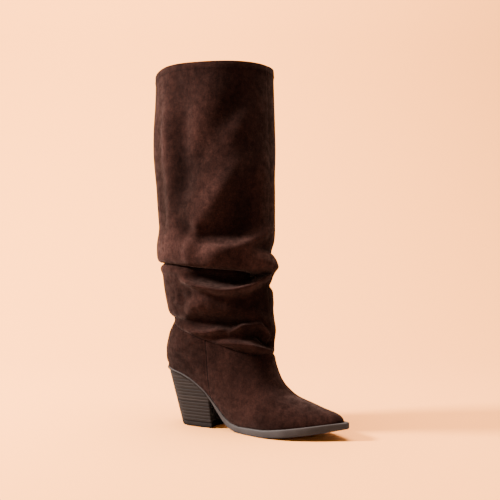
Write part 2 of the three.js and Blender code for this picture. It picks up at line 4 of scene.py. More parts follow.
import bmesh
import bpy
import numpy as np
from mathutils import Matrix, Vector


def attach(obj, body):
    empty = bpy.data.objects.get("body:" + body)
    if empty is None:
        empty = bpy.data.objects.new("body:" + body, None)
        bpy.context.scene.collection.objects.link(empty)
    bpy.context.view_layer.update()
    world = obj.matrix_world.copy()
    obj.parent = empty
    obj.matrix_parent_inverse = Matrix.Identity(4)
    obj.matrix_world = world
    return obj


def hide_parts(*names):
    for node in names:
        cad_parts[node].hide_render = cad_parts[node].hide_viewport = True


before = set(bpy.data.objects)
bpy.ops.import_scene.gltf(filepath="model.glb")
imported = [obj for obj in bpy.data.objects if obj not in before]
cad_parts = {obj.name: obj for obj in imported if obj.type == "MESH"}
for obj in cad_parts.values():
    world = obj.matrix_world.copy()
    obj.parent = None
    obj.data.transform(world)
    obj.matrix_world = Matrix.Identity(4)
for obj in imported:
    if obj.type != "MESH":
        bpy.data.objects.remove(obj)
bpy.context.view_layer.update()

# The form below is worked out in millimetres, with x measured from the heel's back
MM = 0.001
HEEL_PITCH = 22.5
HEEL_BASE = 55.5
HEEL_CENTRE = HEEL_PITCH + HEEL_BASE / 2

# Driving sizes of the last and the shaft
SOLE_LENGTH = 246.0
BALL_WIDTH = 82.0
BOOT_HEIGHT = 435.0
SEAT_HEIGHT = 73.0
INSTEP_HEIGHT = 148.0
TOE_SPRING = 13.0
SHAFT_DEPTH = 156.0
SHAFT_WIDTH = 122.0
SHAFT_AXIS = 64.5

# Walls, the sole's edge, the gap between seated faces, and the ledges round the upper
WALL = 2.0
SOLE_EDGE = 9.0
SEAT_EDGE = 2.2
GAP = 0.3
WELT_LEDGE = 2.6
HEEL_LEDGE = 0.5
TOE_LEDGE = 5.0
TOE_RADIUS = 8.0
HEEL_RADIUS = 29.0

# The toe's spring begins at this share of the sole's length and rises by this power
SPRING_START = 0.63
SPRING_POWER = 1.36

# The sole from behind forwards: place in shares of its length, rise in shares of the seat's height,
# share of the forepart's edge, half widths and swing in shares of the ball's width
SOLE_COLUMNS = ("at", "rise", "edge", "outer", "inner", "swing")
SOLE_TABLE = (
    (0.0, 1.0, 0.0, 0.348, 0.338, 0.0),
    (0.0765, 0.946, 0.0, 0.35, 0.34, 0.0),
    (0.128, 0.903, 0.0, 0.354, 0.34, 0.0),
    (0.191, 0.818, 0.0, 0.356, 0.334, 0.0),
    (0.237, 0.728, 0.0, 0.352, 0.322, 0.0),
    (0.281, 0.614, 0.04, 0.344, 0.305, 0.0),
    (0.326, 0.43, 0.36, 0.332, 0.282, 0.0),
    (0.363, 0.25, 0.74, 0.324, 0.268, 0.0),
    (0.405, 0.095, 0.86, 0.328, 0.268, 0.0),
    (0.44, 0.028, 0.84, 0.346, 0.28, 0.0),
    (0.492, 0.0, 0.84, 0.386, 0.314, 0.002),
    (0.58, 0.0, 0.93, 0.454, 0.392, 0.006),
    (0.668, 0.0, 1.0, 0.496, 0.458, 0.012),
    (0.735, 0.0, 1.07, 0.49, 0.476, 0.018),
    (0.8, 0.0, 1.09, 0.437, 0.432, 0.024),
    (0.865, 0.0, 1.07, 0.343, 0.345, 0.03),
    (0.925, 0.0, 1.0, 0.222, 0.23, 0.034),
    (0.973, 0.0, 0.87, 0.106, 0.112, 0.037),
    (1.0, 0.0, 0.76, 0.045, 0.047, 0.038),
)

# Sections of the foot, from the toe to the heel: the ridge's place and height, the place on the seat
# line, half width outside and inside, all in shares of the driving sizes, and fullness above and below
FOOT_TABLE = (
    (0.973, 0.162, 0.9735, 0.0, 0.0, 0.95, 1.0),
    (0.957, 0.186, 0.966, 0.0, 0.0, 0.95, 1.0),
    (0.918, 0.208, 0.94, 0.0, 0.0, 1.0, 1.0),
    (0.857, 0.23, 0.893, 0.0, 0.0, 1.03, 1.0),
    (0.788, 0.264, 0.825, 0.0, 0.0, 1.05, 1.0),
    (0.723, 0.3, 0.74, 0.465, 0.445, 1.06, 1.0),
    (0.679, 0.346, 0.642, 0.474, 0.446, 1.06, 1.0),
    (0.645, 0.412, 0.537, 0.437, 0.402, 1.04, 1.0),
    (0.622, 0.494, 0.436, 0.411, 0.379, 1.0, 1.0),
    (0.606, 0.584, 0.342, 0.405, 0.379, 0.97, 1.0),
    (0.6, 0.676, 0.257, 0.415, 0.396, 0.94, 1.0),
    (0.601, 0.764, 0.179, 0.43, 0.415, 0.93, 1.0),
    (0.602, 0.842, 0.109, 0.446, 0.434, 0.92, 0.97),
    (0.598, 0.92, 0.04, 0.472, 0.463, 0.92, 0.94),
    (0.592, 1.0, 0.002, 0.506, 0.5, 0.92, 0.89),
)

# Rings of the leg, upwards: distance from the shaft's axis in front and its height, the same behind, and
# half width, in shares of the shaft's half depth, the leg's height and the shaft's half width; fullness
LEG_TABLE = (
    (1.04, 0.016, 0.85, 0.021, 0.694, 0.9),
    (1.03, 0.036, 0.85, 0.045, 0.71, 0.91),
    (1.005, 0.076, 0.785, 0.095, 0.745, 0.92),
    (0.98, 0.118, 0.7, 0.14, 0.78, 0.93),
    (0.965, 0.16, 0.735, 0.19, 0.82, 0.92),
    (0.98, 0.205, 0.84, 0.25, 0.87, 0.92),
    (1.0, 0.256, 0.87, 0.325, 0.925, 0.91),
    (1.02, 0.33, 0.9, 0.42, 0.965, 0.91),
    (1.035, 0.5, 0.965, 0.585, 1.0, 0.91),
    (1.015, 0.72, 1.01, 0.77, 1.0, 0.91),
    (0.98, 1.0, 0.985, 1.0, 0.985, 0.91),
)


def smooth_through(xs, ys):
    """A smooth curve through points that never swings past them."""
    xs = np.asarray(xs, float)
    ys = np.asarray(ys, float)
    step = np.diff(xs)
    slope = np.diff(ys) / step
    tangent = np.empty_like(ys)
    tangent[0] = slope[0]
    tangent[-1] = slope[-1]
    before = slope[:-1]
    after = slope[1:]
    weight_a = 2 * step[1:] + step[:-1]
    weight_b = step[1:] + 2 * step[:-1]
    same = before * after > 0
    safe_a = np.where(same, before, 1.0)
    safe_b = np.where(same, after, 1.0)
    mean = (weight_a + weight_b) / (weight_a / safe_a + weight_b / safe_b)
    tangent[1:-1] = np.where(same, mean, 0.0)

    def curve(x):
        x = np.clip(x, xs[0], xs[-1])
        i = np.clip(np.searchsorted(xs, x, side="right") - 1, 0, len(xs) - 2)
        h = step[i]
        t = (x - xs[i]) / h
        t2 = t * t
        t3 = t2 * t
        return ((2 * t3 - 3 * t2 + 1) * ys[i] + (t3 - 2 * t2 + t) * h * tangent[i]
                + (3 * t2 - 2 * t3) * ys[i + 1] + (t3 - t2) * h * tangent[i + 1])

    return curve


def smooth_step(low, high, x):
    """A soft step from 0 at low to 1 at high."""
    t = np.clip((x - low) / (high - low), 0, 1)
    return t * t * (3 - 2 * t)


sole_rows = np.array(SOLE_TABLE)
sole_curve = {name: smooth_through(sole_rows[:, 0], sole_rows[:, k]) for k, name in enumerate(SOLE_COLUMNS)}


def underside(x):
    """Height of the sole's underside: the seat, the slope to the ball and the toe's spring."""
    spring = np.maximum(0, (x / SOLE_LENGTH - SPRING_START) / (1 - SPRING_START)) ** SPRING_POWER
    return (SEAT_HEIGHT - SEAT_EDGE) * sole_curve["rise"](x / SOLE_LENGTH) + TOE_SPRING * spring


def sole_top(x):
    """Height of the sole's top, where the upper stands."""
    return underside(x) + SEAT_EDGE + (SOLE_EDGE - SEAT_EDGE) * sole_curve["edge"](x / SOLE_LENGTH)


def centre_line(x):
    """How far the sole's middle swings to the inner side."""
    return BALL_WIDTH * sole_curve["swing"](x / SOLE_LENGTH)


def round_end(distance, radius):
    """Share of the half width that is left near a round end."""
    t = np.clip(1 - distance / radius, 0, 1)
    return np.sqrt(1 - t * t)


FEATHER_START = HEEL_LEDGE
FEATHER_END = SOLE_LENGTH - TOE_LEDGE
WELT_FROM = 0.3
WELT_RUN = 0.25


def feather_half_width(x, side):
    """Half width of the line where the upper stands on the sole."""
    widening = np.clip((x / SOLE_LENGTH - WELT_FROM) / WELT_RUN, 0, 1)
    ledge = HEEL_LEDGE + (WELT_LEDGE - HEEL_LEDGE) * widening
    full = BALL_WIDTH * sole_curve[side](x / SOLE_LENGTH) - ledge
    return full * round_end(x - FEATHER_START, HEEL_RADIUS) * round_end(FEATHER_END - x, TOE_RADIUS)


TOE_FULLNESS = 0.95


def all_sections():
    """Curves of every section value over the list of sections, foot first and then the leg."""
    rows = [(FEATHER_END, float(sole_top(FEATHER_END)) + GAP, FEATHER_END, 0.0,
             0.0, 0.0, TOE_FULLNESS, 1.0)]
    for ridge, height, seat, outer, inner, top, under in FOOT_TABLE:
        rows.append((ridge * SOLE_LENGTH, height * INSTEP_HEIGHT, seat * SOLE_LENGTH, 0.0,
                     outer * BALL_WIDTH, inner * BALL_WIDTH, top, under))
    rows[-1] = rows[-1][:2] + (FEATHER_START,) + rows[-1][3:]
    closing = len(rows) - 1
    rows = [row[:3] + (float(sole_top(row[2])) + GAP,) + row[4:] for row in rows]
    foot_back = float(sole_top(0.0)) + GAP
    for front, front_rise, back, back_rise, side, full in LEG_TABLE:
        half = side * SHAFT_WIDTH / 2
        rows.append((SHAFT_AXIS + front * SHAFT_DEPTH / 2,
                     INSTEP_HEIGHT + (BOOT_HEIGHT - INSTEP_HEIGHT) * front_rise,
                     SHAFT_AXIS - back * SHAFT_DEPTH / 2,
                     foot_back + (BOOT_HEIGHT - foot_back) * back_rise, half, half, full, full))
    rows = np.array(rows)
    names = ("front_x", "front_z", "back_x", "back_z", "outer", "inner", "top", "under")
    places = np.arange(len(rows))
    curves = {name: smooth_through(places, rows[:, k]) for k, name in enumerate(names)}
    return curves, closing, len(rows) - 1


SECTION, CLOSING, COLLAR = all_sections()

# Columns are spaced by angle in the lower sections; from section EVEN_FROM to EVEN_TO they change to
# depths that are the same in every ring. A section is always a little wider than its seat line
EVEN_FROM = 5
EVEN_TO = 12
SEAT_MARGIN = 1.01


def plain_surface(place, share):
    """Points of the boot before its folds, their outward directions and turns round the leg in degrees.
    share runs from -1, the outer seat line, over the ridge at 0 to 1, the inner seat line."""
    place, share = np.broadcast_arrays(np.asarray(place, float), np.asarray(share, float))
    cut = {name: curve(place) for name, curve in SECTION.items()}
    back_z = np.where(place < CLOSING, sole_top(cut["back_x"]) + GAP, cut["back_z"])
    inner = share >= 0
    sign = np.where(inner, 1.0, -1.0)
    foot = np.where(inner, feather_half_width(cut["back_x"], "inner"),
                    feather_half_width(cut["back_x"], "outer"))
    foot = np.where(place < CLOSING, foot, 0.0)
    wide = np.maximum(np.where(inner, cut["inner"], cut["outer"]), np.maximum(foot * SEAT_MARGIN, 0.001))
    end = np.pi - np.arcsin((foot / wide) ** (1 / cut["under"]))
    part = np.abs(share)
    ring = np.arccos(1 - (1 - np.cos(np.pi * part)) * (1 - np.cos(end)) / 2)
    angle = end * part + (ring - end * part) * smooth_step(EVEN_FROM, EVEN_TO, place)
    down = (1 - np.cos(angle)) / (1 - np.cos(end))
    power = np.where(angle < np.pi / 2, cut["top"], cut["under"])
    out = wide * np.maximum(0, np.sin(angle)) ** power
    centre = centre_line(cut["front_x"]) * (1 - down) + centre_line(cut["back_x"]) * down
    point = np.stack([cut["front_x"] + (cut["back_x"] - cut["front_x"]) * down,
                      centre + sign * out,
                      cut["front_z"] + (back_z - cut["front_z"]) * down], -1)
    long_x = cut["front_x"] - cut["back_x"]
    long_z = cut["front_z"] - back_z
    length = np.maximum(np.hypot(long_x, long_z), 1e-6)
    half = np.maximum(1, length / 2)
    outward = np.stack([long_x / length * np.cos(angle) / half, sign * np.sin(angle) / wide,
                        long_z / length * np.cos(angle) / half], -1)
    outward /= np.maximum(np.linalg.norm(outward, axis=-1, keepdims=True), 1e-6)
    return point, outward, sign * np.degrees(angle)


# The seam between the foot and the shaft, seen from the side
SEAM_BACK = 135.5
SEAM_FRONT = 91.5
SEAM_FALL = 1.3
SEAM_FRONT_X = SHAFT_AXIS + LEG_TABLE[0][0] * SHAFT_DEPTH / 2


def seam_height(x):
    """Height of the ankle's seam, which falls from behind to the front."""
    back = np.clip(1 - x / SEAM_FRONT_X, 0, 1)
    return SEAM_FRONT + (SEAM_BACK - SEAM_FRONT) * back ** SEAM_FALL


# Folds of the slouched leg, listed one by one. path: turn round the leg in degrees (0 in front,
# negative on the outer side) and height; crease: depth and half width; bag: the swell above with its
# reach; lip: the swell below with its reach; sag: how far the bag hangs over the crease.
# A negative depth makes a ridge. Most folds have neither bag nor lip and end after the width
FOLD_COLUMNS = ("path", "depth", "width", "bag", "up", "lip", "down", "sag")
PLAIN_FOLD = {"bag": 0, "up": 1, "lip": 0, "down": 1, "sag": 0}
FOLDS = (
    # the great overhang, from the inner side round the back to the front
    (((-232, 194), (-180, 204), (-124, 203), (-96, 200), (-66, 197), (-36, 195), (-4, 190), (28, 184)),
     9, 6, 5, 44, 3, 20, 9),
    # the deep pocket under it and its bright lip
    (((-98, 190), (-64, 185), (-38, 184), (-14, 188), (10, 192)), 12, 8.5, 2, 40, 0, 1, 1),
    (((-110, 183), (-80, 172), (-56, 166.5), (-32, 171), (-12, 180), (0, 184), (18, 181)),
     -13, 5.0),
    # the waist, the bulge in front and the notch under it
    (((-34, 222), (6, 214), (46, 213)), 4, 8),
    (((-40, 211), (-4, 202), (26, 194), (62, 198)), -8.5, 10, 0, 1, 0, 1, 2),
    (((-2, 174), (20, 174), (54, 172)), 4, 7, 1, 16, 1.5, 18, 1),
    # inner side: long ridges with troughs between them, and small ones lower down
    (((52, 209), (88, 196), (122, 183)), -7, 7.5, 0, 1, 0, 1, 3),
    (((26, 189), (46, 186), (68, 181), (104, 177)), -7.5, 5.4, 0, 1, 0, 1, 1),
    (((54, 171), (86, 172), (130, 176)), 8, 7, 3, 12, 2, 16, 3),
    (((38, 206), (62, 205), (84, 210), (114, 218)), 4.5, 5),
    (((36, 232), (62, 224), (98, 213)), -4.5, 8),
    (((35, 151), (52, 156), (70, 155), (98, 148)), -6, 4.6),
    (((35, 138), (56, 141), (92, 137)), 5, 4.6),
    (((34, 121), (50, 125), (66, 124), (94, 117)), -6, 4.2),
    (((16, 146), (36, 151), (66, 158)), 5, 6, 2.5, 16, 1, 14, 2),
    (((22, 118), (60, 122), (104, 128)), 5, 7, 4, 20, 1, 12, 2),
    # second bag on the outer side: soft hollow under it, then the arch and the narrow ridges
    (((-200, 132), (-140, 132), (-84, 130)), 3, 8, 3, 34, 0, 10, 1),
    (((-110, 132), (-84, 131), (-52, 131), (-6, 118)), 8, 9, 4, 36, 0, 10, 0),
    (((-110, 120), (-84, 118), (-66, 121), (-52, 120)), -6, 4),
    (((-66, 114), (-54, 122), (-42, 127), (-28, 127), (-15, 119), (0, 104)), -10, 4.4),
    (((-52, 111), (-34, 116), (-14, 108), (16, 104)), 8.5, 4.6),
    (((-84, 107), (-50, 104), (-33, 100), (-6, 93), (14, 90)), -6.5, 4.2),
    (((-14, 124), (12, 118), (48, 119)), -2, 11),
    # soft hollows and ridges of the loose leg above
    (((-108, 248), (-74, 233), (-46, 237), (-10, 258)), 7, 11),
    (((-86, 212), (-46, 217), (-16, 231), (16, 252)), -6.5, 8),
    # the band between the hems: full behind, hollow in front, with small dents
    (((-112, 150), (-86, 156), (-62, 151)), -3.5, 9),
    (((-62, 151), (-30, 152), (8, 146)), 3.5, 10),
    (((-118, 160), (-104, 158), (-90, 163)), 3, 6),
    (((-130, 146), (-116, 145), (-102, 149)), 2.5, 5),
    (((-104, 147), (-92, 150), (-78, 146)), -2.5, 5),
)

# Degrees over which a fold fades at its ends, and how high the sag reaches in shares of the bag's height,
# which counts as SAG_LEAST or more
FOLD_FADE = 26.0
SAG_REACH = 0.5
SAG_LEAST = 20

# Soft standing ridges and hollows of the loose leg: from and to (turn, height), depth, half width
STANDING_FOLDS = (
    ((-92, 204), (-78, 256), -5.5, 8),
    ((-82, 244), (-30, 328), -6.0, 14),
    ((-50, 236), (-10, 296), 5.0, 14),
    ((-108, 262), (-62, 350), 4.5, 13),
    ((-128, 236), (-114, 330), 3.0, 12),
    ((-146, 300), (-136, 400), -2.0, 14),
    ((-20, 245), (-8, 345), -3.0, 11),
    ((-114, 236), (-111, 425), -4.5, 9),
    ((-96, 272), (-91, 408), 6.0, 11),
    ((-84, 350), (-62, 425), -1.5, 13),
    ((-66, 340), (-24, 412), 3.5, 13),
    ((-50, 340), (-6, 405), -1.8, 12),
    ((-108, 380), (-96, 432), 2.0, 12),
    ((30, 240), (22, 330), 2.0, 12),
    ((70, 250), (96, 350), -3.0, 14),
    ((120, 230), (132, 320), 3.0, 13),
)

# Standing folds fade between these shares of their length, at both ends. Turns become millimetres at
# LEG_RADIUS; HUMP_SCALE gives a swell the height 1
LEG_RADIUS = 66.0
STANDING_FADE = (-0.15, 0.4)
HUMP_SCALE = 6.75


def hump(t):
    """A swell that rises from 0 to 1 in its first third and dies away by t = 1."""
    inside = (t > 0) & (t < 1)
    return np.where(inside, HUMP_SCALE * t * (1 - t) ** 2, 0.0)


def fold_move(turn, height):
    """How far the folds push the leather out, and how far they let it drop."""
    push = np.zeros_like(turn)
    drop = np.zeros_like(turn)
    for row in FOLDS:
        fold = {**PLAIN_FOLD, **dict(zip(FOLD_COLUMNS, row))}
        path = np.array(fold["path"], float)
        level_at = smooth_through(path[:, 0], path[:, 1])
        first, last = path[0, 0], path[-1, 0]
        for lap in (-360, 0, 360):
            at = turn + lap
            reach = min(FOLD_FADE, (last - first) / 3)
            fade = smooth_step(0, reach, at - first) * smooth_step(0, reach, last - at)
            rise = height - level_at(at)
            crease = np.exp(-(rise / fold["width"]) ** 2)
            swell = fold["bag"] * hump(rise / fold["up"]) + fold["lip"] * hump(-rise / fold["down"])
            push += fade * (swell - fold["depth"] * crease)
            drop += fade * fold["sag"] * hump(rise / (SAG_REACH * max(fold["up"], SAG_LEAST)))
    for (turn_low, low), (turn_high, high), depth, width in STANDING_FOLDS:
        dx = math.radians(turn_high - turn_low) * LEG_RADIUS
        dz = high - low
        away = ((turn - turn_low + 180) % 360 - 180) * math.pi / 180 * LEG_RADIUS
        length = dx * dx + dz * dz
        along = (away * dx + (height - low) * dz) / length
        across = (away * dz - (height - low) * dx) / math.sqrt(length)
        fade = smooth_step(*STANDING_FADE, along) * smooth_step(*STANDING_FADE, 1 - along)
        push -= fade * depth * np.exp(-(across / width) ** 2)
    return push, drop


# The skins: fine meshes of the upper and the shaft
SKIN_COLUMNS = 150
FOOT_SKIN_ROWS = 110
SHAFT_SKIN_ROWS = 210
SHAFT_ROW_POWER = 1.12
SHAFT_CROWDING = 0.55
FOOT_WALL = 0.8 * WALL
RIM_STEPS = 5
RIM_LIFT = 0.6
HALVINGS = 30
SEAM_BELOW = COLLAR - 3.0

# The collar: its turned edge, and how it stands lower behind and higher on the outer side
EDGE_HEIGHT = 9.0
EDGE_STEP = 0.6
EDGE_SOFTNESS = 0.6
COLLAR_WAVE_FROM = 340.0
COLLAR_LOW_BEHIND = 4.5
COLLAR_HIGH_SIDE = 3.0
COLLAR_SIDE_TURN = -112
COLLAR_SIDE_REACH = 30

# The lining is coarser, and calmer than the folds outside
INSIDE_EVERY = 3
CALM_ROWS = 12
CALM_COLUMNS = 3

# Depth and half width of the valleys along the seams
ANKLE_SEAM = (1.5, 2.2)
FOOT_SEAM = (0.7, 1.3)
LEG_SEAM = (0.35, 0.9)

# What the suede's material reads: FAR where no seam is near, SEAM_EDGE more beside the ankle's seam, and
# INSIDE_HEIGHT on the rim and the lining
FAR = 99.0
SEAM_EDGE = 0.4
INSIDE_HEIGHT = 430.0


def find_place(low, high, is_under):
    """Where is_under stops being true between low and high, found by halving."""
    for _ in range(HALVINGS):
        middle = (low + high) / 2
        under = is_under(middle)
        low = np.where(under, middle, low)
        high = np.where(under, high, middle)
    return low


def seam_places(share):
    """The place on each column where the boot meets the seam's line."""
    def is_under(place):
        point, _, _ = plain_surface(place, share)
        return point[..., 2] < seam_height(point[..., 0])

    return find_place(np.zeros_like(share), np.full_like(share, SEAM_BELOW), is_under)


def collar_dip(turn):
    """The loose collar stands a little lower behind and higher on its outer side."""
    behind = np.cos(np.radians(turn) / 2) ** 2
    side = np.exp(-((turn - COLLAR_SIDE_TURN) / COLLAR_SIDE_REACH) ** 2)
    return COLLAR_LOW_BEHIND * (1 - behind) ** 3 - COLLAR_HIGH_SIDE * side


def calm_folds(push):
    """The lining's share of the folds: as deep as the deepest crease near by, and smooth."""
    window = 2 * CALM_ROWS + 1
    for step in range(1, CALM_COLUMNS + 1):
        push = np.minimum(push, np.minimum(np.roll(push, step, axis=1), np.roll(push, -step, axis=1)))
    padded = np.pad(push, ((2 * CALM_ROWS, 2 * CALM_ROWS), (0, 0)), mode="edge")
    deepest = np.lib.stride_tricks.sliding_window_view(padded, window, axis=0).min(-1)
    return np.lib.stride_tricks.sliding_window_view(deepest, window, axis=0).mean(-1)


def outer_surface(place, share, lining=False):
    """The folded outside of the boot, or its lining, with its turns and heights."""
    point, outward, turn = plain_surface(place, share)
    height = point[..., 2]
    push, drop = fold_move(turn, height)
    if lining:
        push = calm_folds(push) - WALL
    edge_low = BOOT_HEIGHT - EDGE_HEIGHT
    edge = EDGE_STEP * smooth_step(edge_low - EDGE_SOFTNESS, edge_low + EDGE_SOFTNESS, height)
    folded = point + outward * (push + edge)[..., None]
    folded[..., 2] -= drop + collar_dip(turn) * smooth_step(COLLAR_WAVE_FROM, BOOT_HEIGHT, height)
    return folded, turn, height


def grid_normals(points):
    """Unit normals of a grid of points, outwards."""
    along = np.gradient(points, axis=0)
    across = np.gradient(points, axis=1)
    normal = np.cross(across, along)
    length = np.linalg.norm(normal, axis=-1, keepdims=True)
    return normal / np.maximum(length, 1e-9)


def add_object(name, data):
    """A new object of the scene with its data."""
    made = bpy.data.objects.new(name, data)
    bpy.context.scene.collection.objects.link(made)
    return made


def mesh_piece(name, points, faces):
    """A piece from points in millimetres, moved so that the frame's origin lies under the heel's centre."""
    places = points.reshape(-1, 3) * MM
    places[:, 0] -= HEEL_CENTRE * MM
    mesh = bpy.data.meshes.new(name)
    mesh.from_pydata(places.tolist(), [], faces)
    return add_object(name, mesh)


def shade_smooth(mesh):
    for face in mesh.polygons:
        face.use_smooth = True


def grid_piece(name, points, values):
    """A piece of quads from a grid. values: named numbers for every grid point, kept as attributes."""
    rows, columns = points.shape[:2]
    index = np.arange(rows * columns).reshape(rows, columns)
    corners = (index[:-1, :-1], index[:-1, 1:], index[1:, 1:], index[1:, :-1])
    faces = np.stack([corner.ravel() for corner in corners], 1).tolist()
    piece = mesh_piece(name, points, faces)
    for label, value in values.items():
        layer = piece.data.attributes.new(label, "FLOAT", "POINT")
        layer.data.foreach_set("value", np.ascontiguousarray(value.reshape(-1), dtype=np.float32))
    return piece


# Metres
DOUBLES_WITHIN = 2e-6
FLAT_WITHIN = 1e-7


def join_doubles(piece):
    """Closes the piece where its points meet, and shades it smooth."""
    work = bmesh.new()
    work.from_mesh(piece.data)
    bmesh.ops.remove_doubles(work, verts=work.verts, dist=DOUBLES_WITHIN)
    bmesh.ops.dissolve_degenerate(work, edges=work.edges, dist=FLAT_WITHIN)
    work.to_mesh(piece.data)
    work.free()
    shade_smooth(piece.data)


# Closed seams of the foot: the quarter's place, the vamp's line as x against height with its slope, and
# how far forwards the heel's seam shows and fades
QUARTER_X = 78.0
VAMP_LINE = ((111.0, 14.0), (112.0, 36.0), (115.0, 50.0), (128.0, 78.0), (139.0, 100.0))
VAMP_SLOPE = ((34, 0.0), (50, 0.45), (90, 0.5))
HEEL_SEAM_X = (20.0, 25.0)


def foot_seam_distance(point):
    """Distance in mm to the nearest seam on the foot."""
    x, y, z = point[..., 0], point[..., 1], point[..., 2]
    quarter = np.abs(x - QUARTER_X)
    line = np.array(VAMP_LINE)
    at = np.interp(z, line[:, 1], line[:, 0])
    heights, slopes = zip(*VAMP_SLOPE)
    slope = np.interp(z, heights, slopes)
    vamp = np.abs(x - at) / np.sqrt(1 + slope * slope)
    vamp = np.where(y > 0, vamp, FAR)
    heel = np.where(x < HEEL_SEAM_X[0], np.abs(y), FAR)
    return np.minimum(np.minimum(quarter, vamp), heel)


def bent_place(share, seam_here, seam_front):
    """Places of the foot's rows: even in front, bent towards the ankle's seam behind."""
    return seam_front * share + (seam_here - seam_front) * share ** 2


def column_shares(crowd):
    """Shares round the boot, crowded towards the front and back seams."""
    t = np.linspace(0, 1, SKIN_COLUMNS + 1)
    half = t - crowd * np.sin(2 * np.pi * t) / (2 * np.pi)
    return np.concatenate([-half[:0:-1], half])


def valley(distance, seam):
    """How far a seam pulls the suede in."""
    depth, half_width = seam
    return -depth * np.exp(-(distance / half_width) ** 2)


def foot_skin():
    """The upper: vamp and quarters from the sole's edge to the seam."""
    share = column_shares(0.0)
    seam = seam_places(share)
    front = seam[SKIN_COLUMNS]
    shares = np.linspace(0, 1, FOOT_SKIN_ROWS + 1)
    closed_from = int(np.searchsorted(bent_place(shares, seam[0], front), CLOSING))
    shares[closed_from] = find_place(0.0, 1.0, lambda t: bent_place(t, seam[0], front) < CLOSING)
    place = bent_place(shares[:, None], seam[None, :], front)
    place[closed_from, [0, -1]] = CLOSING
    columns = np.broadcast_to(share, place.shape)
    points, turn, height = outer_surface(place, columns)
    normal = grid_normals(points)
    distance = foot_seam_distance(points)
    to_shaft = np.abs(points[..., 2] - seam_height(points[..., 0]))
    points = points + normal * (valley(distance, FOOT_SEAM) + valley(to_shaft, ANKLE_SEAM))[..., None]
    points[closed_from:, 0] = points[closed_from:, -1]
    points[0] = points[0, 0]
    values = {"seam": to_shaft + SEAM_EDGE, "foot": np.ones_like(height), "height": height,
              "folds": fold_move(turn, height)[0]}
    piece = grid_piece("foot_skin", points, values)
    join_doubles(piece)
    thicken = piece.modifiers.new("wall", "SOLIDIFY")
    thicken.thickness = FOOT_WALL * MM
    thicken.offset = -1
    thicken.use_even_offset = False
    thicken.use_rim = True
    thicken.material_offset = 1
    thicken.material_offset_rim = 0
    return piece


def shaft_skin():
    """The loose leg: outside, rolled collar edge and inside in one closed sheet."""
    share = column_shares(SHAFT_CROWDING)
    seam = seam_places(share)
    rows = np.linspace(0, 1, SHAFT_SKIN_ROWS + 1)[:, None]
    place = seam[None, :] + (COLLAR - seam[None, :]) * rows ** SHAFT_ROW_POWER
    columns = np.broadcast_to(share, place.shape)
    points, turn, height = outer_surface(place, columns)
    normal = grid_normals(points)
    distance = np.minimum(np.abs(turn), 180 - np.abs(turn)) * np.pi / 180 * LEG_RADIUS
    to_foot = np.abs(points[..., 2] - seam_height(points[..., 0]))
    points = points + normal * (valley(distance, LEG_SEAM) + valley(to_foot, ANKLE_SEAM))[..., None]
    points[:, 0] = points[:, -1]
    normal[:, 0] = normal[:, -1]
    rim = []
    for k in range(1, RIM_STEPS):
        angle = math.pi * k / RIM_STEPS
        roll = WALL / 2 * (1 - math.cos(angle))
        lift = WALL / 2 * math.sin(angle)
        row = points[-1] - normal[-1] * roll
        row[:, 2] += lift * RIM_LIFT
        rim.append(row)
    lining_points, _, _ = outer_surface(place, columns, lining=True)
    lining_points += normal * valley(to_foot, ANKLE_SEAM)[..., None]
    lining_points[:, 0] = lining_points[:, -1]
    inside = lining_points[::-1][::INSIDE_EVERY]
    sheet = np.concatenate([points, np.array(rim), inside, points[:1]])
    extra = len(rim) + len(inside) + 1

    def spread(value, fill):
        """The value outside, and fill on the rim and the lining."""
        return np.concatenate([value, np.full((extra, value.shape[1]), fill)])

    values = {"seam": spread(to_foot + SEAM_EDGE, FAR), "foot": spread(np.zeros_like(height), 0.0),
              "height": spread(height, INSIDE_HEIGHT), "folds": spread(fold_move(turn, height)[0], 0.0)}
    piece = grid_piece("shaft_skin", sheet, values)
    faces_round = sheet.shape[1] - 1
    lined = np.zeros(len(piece.data.polygons), dtype=np.int32)
    lined[(len(points) + len(rim) - 1) * faces_round:-faces_round] = 1
    piece.data.polygons.foreach_set("material_index", lined)
    join_doubles(piece)
    return piece


def loft(name, loops, cap_first=True):
    """A solid through loops of points that run the same way round, with its last loop capped."""
    loops = np.asarray(loops, float)
    count = loops.shape[1]
    faces = []
    for i in range(len(loops) - 1):
        for j in range(count):
            k = (j + 1) % count
            faces.append((i * count + j, i * count + k, (i + 1) * count + k, (i + 1) * count + j))
    if cap_first:
        faces.append(tuple(reversed(range(count))))
    faces.append(tuple(range((len(loops) - 1) * count, len(loops) * count)))
    return mesh_piece(name, loops, faces)


# The sole's edge from below upwards: how far it lies inside, and height in shares of the edge
SOLE_STATIONS = 170
SOLE_CROWDING = 0.75
SOLE_PROFILE = ((2.6, 0.0), (1.2, 0.02), (0.35, 0.09), (0.0, 0.22), (0.0, 0.84), (0.25, 0.95), (0.8, 1.0))


def sole_half_width(x, side):
    """Half width of the sole on one side."""
    return BALL_WIDTH * sole_curve[side](x / SOLE_LENGTH) * round_end(x, HEEL_RADIUS)


def outsole_piece():
    """The sole with its rounded edge, waist and toe spring."""
    t = np.linspace(0, 1, SOLE_STATIONS)
    xs = SOLE_LENGTH * (t - SOLE_CROWDING * np.sin(2 * np.pi * t) / (2 * np.pi))
    loops = []
    for x in xs:
        low = float(underside(x))
        thick = float(sole_top(x)) - low
        middle = float(centre_line(x))
        sides = []
        for side, sign in (("outer", -1), ("inner", 1)):
            half = float(sole_half_width(x, side))
            sides.append([(x, middle + sign * max(0.0, half - inset), low + thick * up)
                          for inset, up in SOLE_PROFILE])
        loops.append(sides[0][::-1] + sides[1])
    piece = loft("outsole_shell", loops, cap_first=False)
    join_doubles(piece)
    return piece


